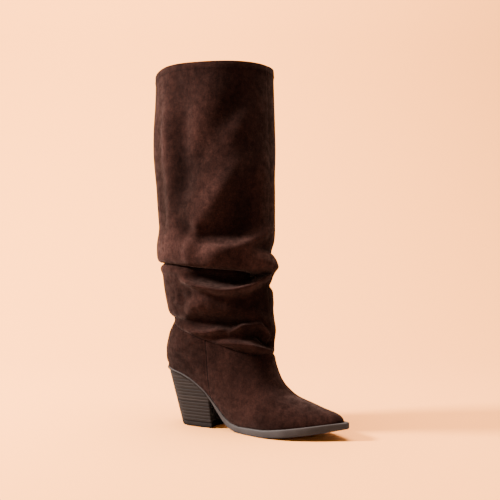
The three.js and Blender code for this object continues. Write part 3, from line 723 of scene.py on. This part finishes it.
# The heel: the lift's height, the breast's place and hollow, the base, one layer with the groove under it
# and the lift's edge. Profiles give height, in shares of the layer or in mm, and how far it lies inside
LIFT = 6.0
BREAST_TOP = 72.5
BREAST_HOLLOW = 7.0
HEEL_BASE_WIDTH = 47.0
LAYER_PITCH = 3.9
LAYER_GROOVE = 0.45
LAYER_PROFILE = ((0.0, LAYER_GROOVE), (0.1, LAYER_GROOVE * 0.8), (0.2, 0.1), (0.32, 0.0), (0.9, 0.0),
                 (0.97, 0.12))
LIFT_PROFILE = ((0.0, 0.7), (0.35, 0.25), (1.0, 0.0), (LIFT, 0.0))
HEEL_SIDE_POINTS = 34
BREAST_POINTS = 20


def heel_ring(z, inset):
    """The heel's outline at one height, drawn in by inset."""
    low = 1 - z / SEAT_HEIGHT
    back = HEEL_PITCH * low + GAP
    breast = BREAST_TOP + (HEEL_PITCH + HEEL_BASE - BREAST_TOP) * low
    narrow = 1 - (1 - HEEL_BASE_WIDTH / (2 * HEEL_RADIUS)) * low
    sides = []
    for side, sign in (("outer", -1), ("inner", 1)):
        share = 1 - np.cos(np.linspace(0, 1, HEEL_SIDE_POINTS) * np.pi / 2)
        x = back + inset + (breast - back - 2 * inset) * share
        half = sole_half_width(BREAST_TOP * share, side) * narrow - inset
        sides.append([(a, sign * max(0.0, b), z) for a, b in zip(x, half)])
    first = sides[0][-1]
    last = sides[1][-1]
    breast_row = []
    for i in range(1, BREAST_POINTS):
        t = i / BREAST_POINTS
        hollow = BREAST_HOLLOW * math.sin(t * math.pi)
        breast_row.append((first[0] - hollow, first[1] + (last[1] - first[1]) * t, z))
    return sides[0] + breast_row + sides[1][::-1][:-1]


def heel_piece():
    """The stacked heel: thin layers, each with a fine groove under it."""
    loops = []
    z = LIFT + GAP
    while z < SEAT_HEIGHT:
        for up, inset in LAYER_PROFILE:
            loops.append(heel_ring(z + up * LAYER_PITCH, inset))
        z += LAYER_PITCH
    loops = np.array(loops)
    seat = underside(np.clip(loops[..., 0], 0, SOLE_LENGTH)) - GAP
    loops[..., 2] = np.minimum(loops[..., 2], seat)
    piece = loft("heel_stack", loops)
    join_doubles(piece)
    return piece


def lift_piece():
    """The top lift under the heel."""
    piece = loft("heel_lift", [heel_ring(z, inset) for z, inset in LIFT_PROFILE])
    join_doubles(piece)
    return piece


# Stitches: a thread laid over points, set by Geometry Nodes, and the row's distance below the collar
STITCH_PITCH = 3.1
STITCH_LENGTH = 2.3
THREAD_RADIUS = 0.26
THREAD_LIFT = 0.1
LOOK_AHEAD = 0.5
COLLAR_STITCH = 7.5

# The collar's line is looked for above section LEG_FROM; STEP_BACK, in sections, finds the leg's slope
LEG_FROM = 9.0
STEP_BACK = 0.02


def stitch_tree():
    """Geometry Nodes that lay one rounded stitch on every point, turned along the seam."""
    tree = bpy.data.node_groups.new("lay_stitches", "GeometryNodeTree")
    tree.interface.new_socket("Points", in_out="INPUT", socket_type="NodeSocketGeometry")
    for name in ("Stitch Length", "Thread Radius"):
        tree.interface.new_socket(name, in_out="INPUT", socket_type="NodeSocketFloat")
    tree.interface.new_socket("Thread", in_out="INPUT", socket_type="NodeSocketMaterial")
    tree.interface.new_socket("Stitches", in_out="OUTPUT", socket_type="NodeSocketGeometry")
    nodes = tree.nodes
    links = tree.links
    given = nodes.new("NodeGroupInput").outputs
    result = nodes.new("NodeGroupOutput").inputs
    ball = nodes.new("GeometryNodeMeshUVSphere")
    ball.inputs["Segments"].default_value = 8
    ball.inputs["Rings"].default_value = 6
    ball.inputs["Radius"].default_value = 1.0
    size = nodes.new("ShaderNodeCombineXYZ")
    half = nodes.new("ShaderNodeMath")
    half.operation = "MULTIPLY"
    half.inputs[1].default_value = 0.5
    links.new(given["Stitch Length"], half.inputs[0])
    links.new(half.outputs[0], size.inputs["X"])
    links.new(given["Thread Radius"], size.inputs["Y"])
    links.new(given["Thread Radius"], size.inputs["Z"])
    along = nodes.new("GeometryNodeInputNamedAttribute")
    along.data_type = "FLOAT_VECTOR"
    along.inputs["Name"].default_value = "along"
    turn = nodes.new("FunctionNodeAlignRotationToVector")
    turn.axis = "X"
    links.new(along.outputs["Attribute"], turn.inputs["Vector"])
    lay = nodes.new("GeometryNodeInstanceOnPoints")
    links.new(given["Points"], lay.inputs["Points"])
    links.new(ball.outputs["Mesh"], lay.inputs["Instance"])
    links.new(turn.outputs["Rotation"], lay.inputs["Rotation"])
    links.new(size.outputs["Vector"], lay.inputs["Scale"])
    real = nodes.new("GeometryNodeRealizeInstances")
    links.new(lay.outputs["Instances"], real.inputs["Geometry"])
    colour = nodes.new("GeometryNodeSetMaterial")
    links.new(real.outputs["Geometry"], colour.inputs["Geometry"])
    links.new(given["Thread"], colour.inputs["Material"])
    links.new(colour.outputs["Geometry"], result["Stitches"])
    return tree


def even_points(line, pitch):
    """Points at even steps along a closed line, with their directions."""
    loop = np.concatenate([line, line[:1]])
    steps = np.linalg.norm(np.diff(loop, axis=0), axis=1)
    run = np.concatenate([[0.0], np.cumsum(steps)])
    count = int(run[-1] / pitch)
    at = np.arange(count) * run[-1] / count
    points = np.stack([np.interp(at, run, loop[:, k]) for k in range(3)], 1)
    ahead = np.stack([np.interp((at + LOOK_AHEAD) % run[-1], run, loop[:, k]) for k in range(3)], 1)
    return points, ahead - points


def stitch_row(name, line, thread):
    """Stitches along a closed line given in millimetres."""
    points, along = even_points(line, STITCH_PITCH)
    piece = mesh_piece(name, points, [])
    layer = piece.data.attributes.new("along", "FLOAT_VECTOR", "POINT")
    layer.data.foreach_set("vector", along.astype(np.float32).ravel())
    modifier = piece.modifiers.new("stitches", "NODES")
    tree = stitch_tree()
    modifier.node_group = tree
    values = {"Stitch Length": STITCH_LENGTH * MM, "Thread Radius": THREAD_RADIUS * MM, "Thread": thread}
    for item in tree.interface.items_tree:
        if item.name in values:
            modifier[item.identifier] = values[item.name]
    bpy.context.view_layer.update()
    shaped = piece.evaluated_get(bpy.context.evaluated_depsgraph_get())
    piece.data = bpy.data.meshes.new_from_object(shaped)
    piece.modifiers.clear()
    piece.data.name = name
    shade_smooth(piece.data)
    return piece


def collar_line():
    """The closed line round the collar's outside that its stitches follow."""
    share = np.linspace(-1, 1, 2 * SKIN_COLUMNS + 1)[:-1]

    def is_under(place):
        point, _, _ = plain_surface(place, share)
        return point[..., 2] - (BOOT_HEIGHT - COLLAR_STITCH) < 0

    low = find_place(np.full_like(share, LEG_FROM), np.full_like(share, float(COLLAR)), is_under)
    point, _, _ = outer_surface(low, share)
    near, _, _ = outer_surface(low - STEP_BACK, share)
    out = point - point.mean(axis=0)
    out[:, 2] = 0
    side = np.cross(np.roll(point, -1, axis=0) - np.roll(point, 1, axis=0), point - near)
    side /= np.linalg.norm(side, axis=1, keepdims=True)
    side *= np.sign((side * out).sum(axis=1, keepdims=True))
    return point + side * THREAD_LIFT


# Materials. On the Mix node the colours have their own sockets, called by number
MIX_FIRST = 6
MIX_SECOND = 7
MIX_RESULT = 2


def start_material(name):
    """A new material, its node tree and its surface shader."""
    material = bpy.data.materials.new(name)
    material.use_nodes = True
    tree = material.node_tree
    return material, tree, tree.nodes["Principled BSDF"]


def noise(tree, scale, detail=3.0, roughness=0.55, stretch=None):
    """Noise over the piece's own coordinates, in metres; scale is in features per metre."""
    where = tree.nodes.new("ShaderNodeTexCoord")
    source = where.outputs["Object"]
    if stretch:
        mapping = tree.nodes.new("ShaderNodeMapping")
        mapping.inputs["Scale"].default_value = stretch
        tree.links.new(source, mapping.inputs["Vector"])
        source = mapping.outputs["Vector"]
    texture = tree.nodes.new("ShaderNodeTexNoise")
    texture.inputs["Scale"].default_value = scale
    texture.inputs["Detail"].default_value = detail
    texture.inputs["Roughness"].default_value = roughness
    tree.links.new(source, texture.inputs["Vector"])
    return texture.outputs["Fac"]


def ramp(tree, value, stops):
    """A colour ramp; stops are (place, colour)."""
    stops = list(stops)
    node = tree.nodes.new("ShaderNodeValToRGB")
    while len(node.color_ramp.elements) < len(stops):
        node.color_ramp.elements.new(0.5)
    for element, (place, colour) in zip(node.color_ramp.elements, stops):
        element.position = place
        element.color = (*colour, 1)
    tree.links.new(value, node.inputs["Fac"])
    return node.outputs["Color"]


def level(tree, value, low, high, out_low=0.0, out_high=1.0):
    """The value as a share of the way from low to high, softly, or between two other numbers."""
    node = tree.nodes.new("ShaderNodeMapRange")
    node.interpolation_type = "SMOOTHSTEP"
    node.inputs["From Min"].default_value = low
    node.inputs["From Max"].default_value = high
    node.inputs["To Min"].default_value = out_low
    node.inputs["To Max"].default_value = out_high
    tree.links.new(value, node.inputs["Value"])
    return node.outputs["Result"]


def connect(tree, value, socket):
    """Links a socket to the socket, or sets a number or a colour on it."""
    if isinstance(value, bpy.types.NodeSocket):
        tree.links.new(value, socket)
    elif isinstance(value, (int, float)):
        socket.default_value = value
    else:
        socket.default_value = (*value, 1)


def mix(tree, factor, first, second, blend="MIX"):
    """Two colours mixed; factor and colours are sockets or values."""
    node = tree.nodes.new("ShaderNodeMix")
    node.data_type = "RGBA"
    node.blend_type = blend
    connect(tree, factor, node.inputs["Factor"])
    connect(tree, first, node.inputs[MIX_FIRST])
    connect(tree, second, node.inputs[MIX_SECOND])
    return node.outputs[MIX_RESULT]


def attribute(tree, name):
    """The number that the mesh keeps under this name at every point."""
    node = tree.nodes.new("ShaderNodeAttribute")
    node.attribute_type = "GEOMETRY"
    node.attribute_name = name
    return node.outputs["Fac"]


def bump(tree, height, strength, distance, below=None):
    """Relief from a height, distance in metres, laid over another relief if there is one."""
    node = tree.nodes.new("ShaderNodeBump")
    node.inputs["Strength"].default_value = strength
    node.inputs["Distance"].default_value = distance
    tree.links.new(height, node.inputs["Height"])
    if below is not None:
        tree.links.new(below, node.inputs["Normal"])
    return node.outputs["Normal"]


def calculate(tree, operation, first, second=0.0):
    """Sum, difference, product and the like of two sockets or numbers."""
    node = tree.nodes.new("ShaderNodeMath")
    node.operation = operation
    connect(tree, first, node.inputs[0])
    connect(tree, second, node.inputs[1])
    return node.outputs[0]


def seam_lines(tree):
    """Distance in mm to the nearest closed seam, from the boot's own coordinates."""
    coordinates = tree.nodes.new("ShaderNodeTexCoord").outputs["Object"]
    split = tree.nodes.new("ShaderNodeSeparateXYZ")
    tree.links.new(coordinates, split.inputs[0])
    x, y, z = (calculate(tree, "MULTIPLY", value, 1 / MM) for value in split.outputs)
    on_foot = attribute(tree, "foot")

    def apart(here, there):
        return calculate(tree, "ABSOLUTE", calculate(tree, "SUBTRACT", here, there))

    def only(distance, where):
        """The distance, kept large where the named share is 0."""
        away = calculate(tree, "SUBTRACT", 1.0, where)
        return calculate(tree, "ADD", distance, calculate(tree, "MULTIPLY", away, FAR))

    quarter = only(apart(x, QUARTER_X - HEEL_CENTRE), on_foot)
    line_x = VAMP_LINE[0][0] - HEEL_CENTRE
    for (low_x, low_z), (high_x, high_z) in zip(VAMP_LINE, VAMP_LINE[1:]):
        step = level(tree, z, low_z, high_z, 0.0, high_x - low_x)
        line_x = calculate(tree, "ADD", line_x, step)
    vamp = only(apart(x, line_x), on_foot)
    on_inner_side = level(tree, y, -1.0, 0.0)
    vamp = only(vamp, on_inner_side)
    middle = apart(y, 0.0)
    fades_from, fades_to = (place - HEEL_CENTRE for place in HEEL_SEAM_X)
    behind = level(tree, x, fades_to, fades_from)
    off_foot = calculate(tree, "SUBTRACT", 1.0, on_foot)
    long_seams = only(middle, calculate(tree, "MAXIMUM", behind, off_foot))
    nearest = calculate(tree, "MINIMUM", quarter, vamp)
    return calculate(tree, "MINIMUM", nearest, long_seams)


def finish_surface(surface, roughness, specular):
    """Sets how matt the surface is."""
    surface.inputs["Roughness"].default_value = roughness
    surface.inputs["Specular IOR Level"].default_value = specular


# Where soft clouds of noise begin and end
CLOUD_PLACES = (0.3, 0.7)

# Brown suede: its own colours, the shares of mottling, brushing and napping, and the shades that multiply
# the colours, as (place, shade) from dark to light
SUEDE_COLOURS = ((0.30, (0.0057, 0.0019, 0.0013)), (0.5, (0.0111, 0.0039, 0.0029)),
                 (0.72, (0.0222, 0.0085, 0.0065)))
# The seam line's dark, also the dark that the painted shade low on the foot mixes in
DARK_SEAM_AND_PAINTED_SHADE = (0.0026, 0.0011, 0.0008)
MOTTLING_SHARE = 0.7
BRUSHING_SHARE = 0.65
NAPPING_SHARE = 0.8
MOTTLING = ((0.34, (0.64, 0.64, 0.64)), (0.66, (1.40, 1.34, 1.32)))
BRUSHING = ((0.34, (0.68, 0.68, 0.68)), (0.66, (1.36, 1.32, 1.30)))
NAPPING = ((0.34, (0.55, 0.54, 0.53)), (0.66, (1.5, 1.47, 1.44)))
# Darker on the seam line itself, with a painted highlight along its edges
SEAM_LINE_AND_PAINTED_HIGHLIGHT = ((0.04, (0.45, 0.45, 0.45)), (0.14, (0.75, 0.78, 0.8)), (0.24, (1.9, 2.05, 2.15)),
               (0.42, (1.35, 1.4, 1.45)), (0.9, (1.0, 1.0, 1.0)))
# Fold hollows darkened as painted shade; crests lightened, partly rubbed wear and partly painted highlight
FOLD_WEAR_PAINTED_HIGHLIGHT_AND_SHADE = ((0.0, (0.60, 0.58, 0.57)), (0.5, (1.0, 1.0, 1.0)), (1.0, (1.75, 1.95, 2.08)))
SHEEN_TINT = (0.60, 0.38, 0.32, 1)
SHEEN_RANGE = (0.03, 0.13)

# Reaches in mm: of the dark seam line with the painted highlight beside it, and of the folds from hollow,
# with painted shade, to crest, lighter as rubbed wear and painted highlight
SEAM_REACH = 4.0
WEAR_AND_SHADE_DEPTH = 8.0

# The ankle's seam fades from dark to suede over these distances; painted shade makes the foot darker up to
# the ankle
ANKLE_SEAM_FADE = (0.2, 1.6)
ANKLE_SEAM_SHADE = 0.35
FOOT_PAINTED_SHADE = 0.72
FOOT_PAINTED_SHADE_HEIGHTS = (60, 130)


def suede_material():
    """Dark brown suede: brushed patches, a short nap standing this way and that, darker in its seams, with
    painted highlights beside the seams, fold crests lighter as rubbed wear and painted highlight, and
    painted shade in the fold hollows and low on the foot.
    """
    material, tree, surface = start_material("brown_suede")
    patches = noise(tree, scale=17, stretch=(1.0, 1.0, 0.55))
    mottle = noise(tree, scale=130, detail=5, roughness=0.7)
    streaks = noise(tree, scale=300, roughness=0.65, stretch=(1.0, 1.0, 0.5))
    nap = noise(tree, scale=820, detail=4, roughness=0.72)
    grain = noise(tree, scale=2600, detail=2, roughness=0.6)
    line = level(tree, seam_lines(tree), 0.0, SEAM_REACH)
    fold_wear_and_painted_shade = level(tree, attribute(tree, "folds"), -WEAR_AND_SHADE_DEPTH, WEAR_AND_SHADE_DEPTH)
    to_suede = level(tree, attribute(tree, "seam"), *ANKLE_SEAM_FADE, ANKLE_SEAM_SHADE, 1.0)
    painted_foot_shade = level(tree, attribute(tree, "height"), *FOOT_PAINTED_SHADE_HEIGHTS, FOOT_PAINTED_SHADE, 1.0)

    def shade(colour, value, share, stops):
        """The colour, darkened and lightened by the stops as the value goes."""
        return mix(tree, share, colour, ramp(tree, value, stops), "MULTIPLY")

    colour = ramp(tree, patches, SUEDE_COLOURS)
    colour = shade(colour, mottle, MOTTLING_SHARE, MOTTLING)
    colour = shade(colour, streaks, BRUSHING_SHARE, BRUSHING)
    colour = shade(colour, nap, NAPPING_SHARE, NAPPING)
    colour = mix(tree, to_suede, DARK_SEAM_AND_PAINTED_SHADE, colour)
    # Painted highlight along the seams' edges, and a darker line on the seams themselves
    colour = shade(colour, line, 1.0, SEAM_LINE_AND_PAINTED_HIGHLIGHT)
    # Painted shade in the fold hollows; crests lighter as rubbed wear and painted highlight
    colour = shade(colour, fold_wear_and_painted_shade, 1.0, FOLD_WEAR_PAINTED_HIGHLIGHT_AND_SHADE)
    # Painted shade: the foot darkens towards the sole
    tree.links.new(mix(tree, painted_foot_shade, DARK_SEAM_AND_PAINTED_SHADE, colour), surface.inputs["Base Color"])
    normal = bump(tree, mottle, strength=0.35, distance=0.0012)
    normal = bump(tree, nap, strength=0.5, distance=0.0007, below=normal)
    normal = bump(tree, grain, strength=0.3, distance=0.0003, below=normal)
    tree.links.new(normal, surface.inputs["Normal"])
    finish_surface(surface, roughness=0.96, specular=0.02)
    tree.links.new(level(tree, mottle, *CLOUD_PLACES, *SHEEN_RANGE), surface.inputs["Sheen Weight"])
    surface.inputs["Sheen Roughness"].default_value = 0.5
    surface.inputs["Sheen Tint"].default_value = SHEEN_TINT
    return material


# The plainer finishes: colours of their clouds from dark to light, and shades that multiply them
LINING_COLOURS = ((0.085, 0.052, 0.034), (0.13, 0.084, 0.056))
LIFT_COLOURS = ((0.0075, 0.005, 0.004), (0.013, 0.009, 0.0072))
THREAD_COLOURS = ((0.0040, 0.0016, 0.0012), (0.0085, 0.0035, 0.0028))
SOLE_COLOURS = ((0.024, 0.017, 0.015), (0.040, 0.030, 0.027))
SOLE_ROUGHNESS = (0.6, 0.75)
SPECKLE_SHARE = 0.7
SPECKLES = ((0.35, (0.82, 0.82, 0.82)), (0.65, (1.12, 1.12, 1.12)))
HEEL_COLOURS = ((0.3, (0.0076, 0.0041, 0.0029)), (0.55, (0.0135, 0.0078, 0.0056)),
                (0.75, (0.0235, 0.014, 0.0102)))
LAYER_SHARE = 0.8
LAYER_SHADES = ((0.35, (0.8, 0.8, 0.8)), (0.65, (1.15, 1.14, 1.12)))


def plain_material(name, scale, detail, colours, roughness, specular):
    """A matt finish with soft clouds between two colours."""
    material, tree, surface = start_material(name)
    cloud = noise(tree, scale, detail)
    colour = ramp(tree, cloud, zip(CLOUD_PLACES, colours))
    tree.links.new(colour, surface.inputs["Base Color"])
    finish_surface(surface, roughness, specular)
    return material, tree, surface


def lining_material():
    """Smooth brown lining leather with fine pores."""
    material, tree, surface = plain_material(
        "lining_leather", scale=40, detail=3, colours=LINING_COLOURS, roughness=0.62, specular=0.5)
    pores = noise(tree, scale=1500, detail=2)
    tree.links.new(bump(tree, pores, strength=0.2, distance=0.0002), surface.inputs["Normal"])
    return material


def sole_material():
    """Matt grey-brown sole with faint speckles."""
    material, tree, surface = start_material("sole_rubber")
    cloud = noise(tree, scale=45, detail=4)
    speck = noise(tree, scale=1400, detail=2)
    colour = ramp(tree, cloud, zip(CLOUD_PLACES, SOLE_COLOURS))
    colour = mix(tree, SPECKLE_SHARE, colour, ramp(tree, speck, SPECKLES), "MULTIPLY")
    tree.links.new(colour, surface.inputs["Base Color"])
    tree.links.new(level(tree, cloud, *CLOUD_PLACES, *SOLE_ROUGHNESS), surface.inputs["Roughness"])
    surface.inputs["Specular IOR Level"].default_value = 0.2
    tree.links.new(bump(tree, speck, strength=0.15, distance=0.0002), surface.inputs["Normal"])
    return material


def heel_material():
    """Stacked heel: each layer its own shade, with fine lines along it."""
    material, tree, surface = start_material("heel_stack")
    lines = noise(tree, scale=120, detail=4, roughness=0.65, stretch=(0.12, 0.12, 9.0))
    layers = noise(tree, scale=60, detail=1, roughness=0.4, stretch=(0.02, 0.02, 4.2))
    colour = ramp(tree, lines, HEEL_COLOURS)
    colour = mix(tree, LAYER_SHARE, colour, ramp(tree, layers, LAYER_SHADES), "MULTIPLY")
    tree.links.new(colour, surface.inputs["Base Color"])
    finish_surface(surface, roughness=0.72, specular=0.12)
    tree.links.new(bump(tree, lines, strength=0.2, distance=0.0004), surface.inputs["Normal"])
    return material


suede = suede_material()
lining = lining_material()
sole_rubber = sole_material()
stack = heel_material()
lift_rubber, *_ = plain_material(
    "lift_rubber", scale=90, detail=3, colours=LIFT_COLOURS, roughness=0.85, specular=0.06)
thread, *_ = plain_material(
    "brown_thread", scale=1800, detail=2, colours=THREAD_COLOURS, roughness=0.85, specular=0.05)

foot = foot_skin()
foot.data.materials.append(suede)
foot.data.materials.append(lining)
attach(foot, "root")
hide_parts("upper")

leg = shaft_skin()
leg.data.materials.append(suede)
leg.data.materials.append(lining)
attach(leg, "root")
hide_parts("shaft")

stitches = stitch_row("collar_stitches", collar_line(), thread)
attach(stitches, "root")

outsole = outsole_piece()
outsole.data.materials.append(sole_rubber)
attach(outsole, "root")
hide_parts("outsole")

heel = heel_piece()
heel.data.materials.append(stack)
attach(heel, "root")
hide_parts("heel")

lift = lift_piece()
lift.data.materials.append(lift_rubber)
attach(lift, "root")
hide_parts("heel_top_lift")

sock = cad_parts["insole"]
sock.data.materials.clear()
sock.data.materials.append(lining)


# The floor's own colour is peach; the light it throws back is calmer. Places and sizes in metres
FLOOR_COLOUR = (1.0, 0.375, 0.085)
FLOOR_BOUNCE = (0.40, 0.32, 0.27)
FLOOR_HALF_WIDTH = 3.5
FLOOR_FRONT = -2.6
SWEEP_FROM = 0.6
SWEEP_RADIUS = 0.9
SWEEP_STEPS = 12
BACKDROP_TOP = 3.2

# The camera stands at the photo's angle, with a level view
VIEW_TURN = 32.5
EYE = (0.5915, -0.8230, 0.1962)
FOCAL_PIXELS = 808.0
FRAME_PIXELS = 500.0
SENSOR = 36.0
HORIZON_DROP = 16.4

# Soft lights: place, what they point at, size, power and colour
MIDDLE = (0.03, 0.0, 0.22)
SOFT_LIGHTS = {
    "key": ((-1.38, -1.12, 1.3), MIDDLE, 0.35, 235, (1.0, 0.97, 0.94)),
    "fill": ((0.2, -1.9, 0.5), MIDDLE, 1.2, 5, (1.0, 0.93, 0.86)),
    "top": ((-0.1, -0.2, 2.0), MIDDLE, 0.9, 16, (1.0, 0.97, 0.94)),
    "backdrop": ((-0.2, 0.1, 2.4), (-0.9, 1.3, 0.3), 1.6, 215, (1.0, 0.90, 0.80)),
}
STUDIO_COLOUR = (1.0, 0.86, 0.72, 1)
STUDIO_STRENGTH = 0.24


def floor_piece():
    """A pale floor that sweeps up into the backdrop behind the boot."""
    view = math.radians(VIEW_TURN)
    away = np.array((-math.sin(view), math.cos(view)))
    right = np.array((math.cos(view), math.sin(view)))
    profile = [(FLOOR_FRONT, 0.0), (SWEEP_FROM, 0.0)]
    for k in range(1, SWEEP_STEPS + 1):
        angle = math.pi / 2 * k / SWEEP_STEPS
        profile.append((SWEEP_FROM + SWEEP_RADIUS * math.sin(angle), SWEEP_RADIUS * (1 - math.cos(angle))))
    profile.append((SWEEP_FROM + SWEEP_RADIUS, BACKDROP_TOP))
    points = []
    for along, up in profile:
        for across in (-FLOOR_HALF_WIDTH, FLOOR_HALF_WIDTH):
            ground = away * along + right * across
            points.append((ground[0], ground[1], up))
    faces = [(2 * i, 2 * i + 1, 2 * i + 3, 2 * i + 2) for i in range(len(profile) - 1)]
    mesh = bpy.data.meshes.new("floor")
    mesh.from_pydata(points, [], faces)
    shade_smooth(mesh)
    material, tree, surface = start_material("pale_floor")
    ray = tree.nodes.new("ShaderNodeLightPath").outputs["Is Camera Ray"]
    tree.links.new(mix(tree, ray, FLOOR_BOUNCE, FLOOR_COLOUR), surface.inputs["Base Color"])
    finish_surface(surface, roughness=0.9, specular=0.2)
    mesh.materials.append(material)
    add_object("floor", mesh)


def camera_piece():
    """The camera at the photo's place and angle."""
    data = bpy.data.cameras.new("camera")
    data.sensor_width = SENSOR
    data.lens = FOCAL_PIXELS / FRAME_PIXELS * SENSOR
    data.shift_y = HORIZON_DROP / FRAME_PIXELS
    data.clip_start = 0.05
    camera = add_object("camera", data)
    camera.location = EYE
    camera.rotation_euler = (math.pi / 2, 0, math.radians(VIEW_TURN))
    bpy.context.scene.camera = camera


def studio_light():
    """The soft lights and a faint warm light from all round."""
    for name, (place, target, size, power, colour) in SOFT_LIGHTS.items():
        data = bpy.data.lights.new(name, "AREA")
        data.shape = "RECTANGLE"
        data.size = size
        data.size_y = size
        data.energy = power
        data.color = colour
        light = add_object(name, data)
        light.location = place
        light.rotation_euler = (Vector(target) - Vector(place)).to_track_quat("-Z", "Y").to_euler()
    world = bpy.data.worlds.new("studio")
    world.use_nodes = True
    back = world.node_tree.nodes["Background"]
    back.inputs["Color"].default_value = STUDIO_COLOUR
    back.inputs["Strength"].default_value = STUDIO_STRENGTH
    bpy.context.scene.world = world


floor_piece()
camera_piece()
studio_light()

bpy.context.view_layer.update()
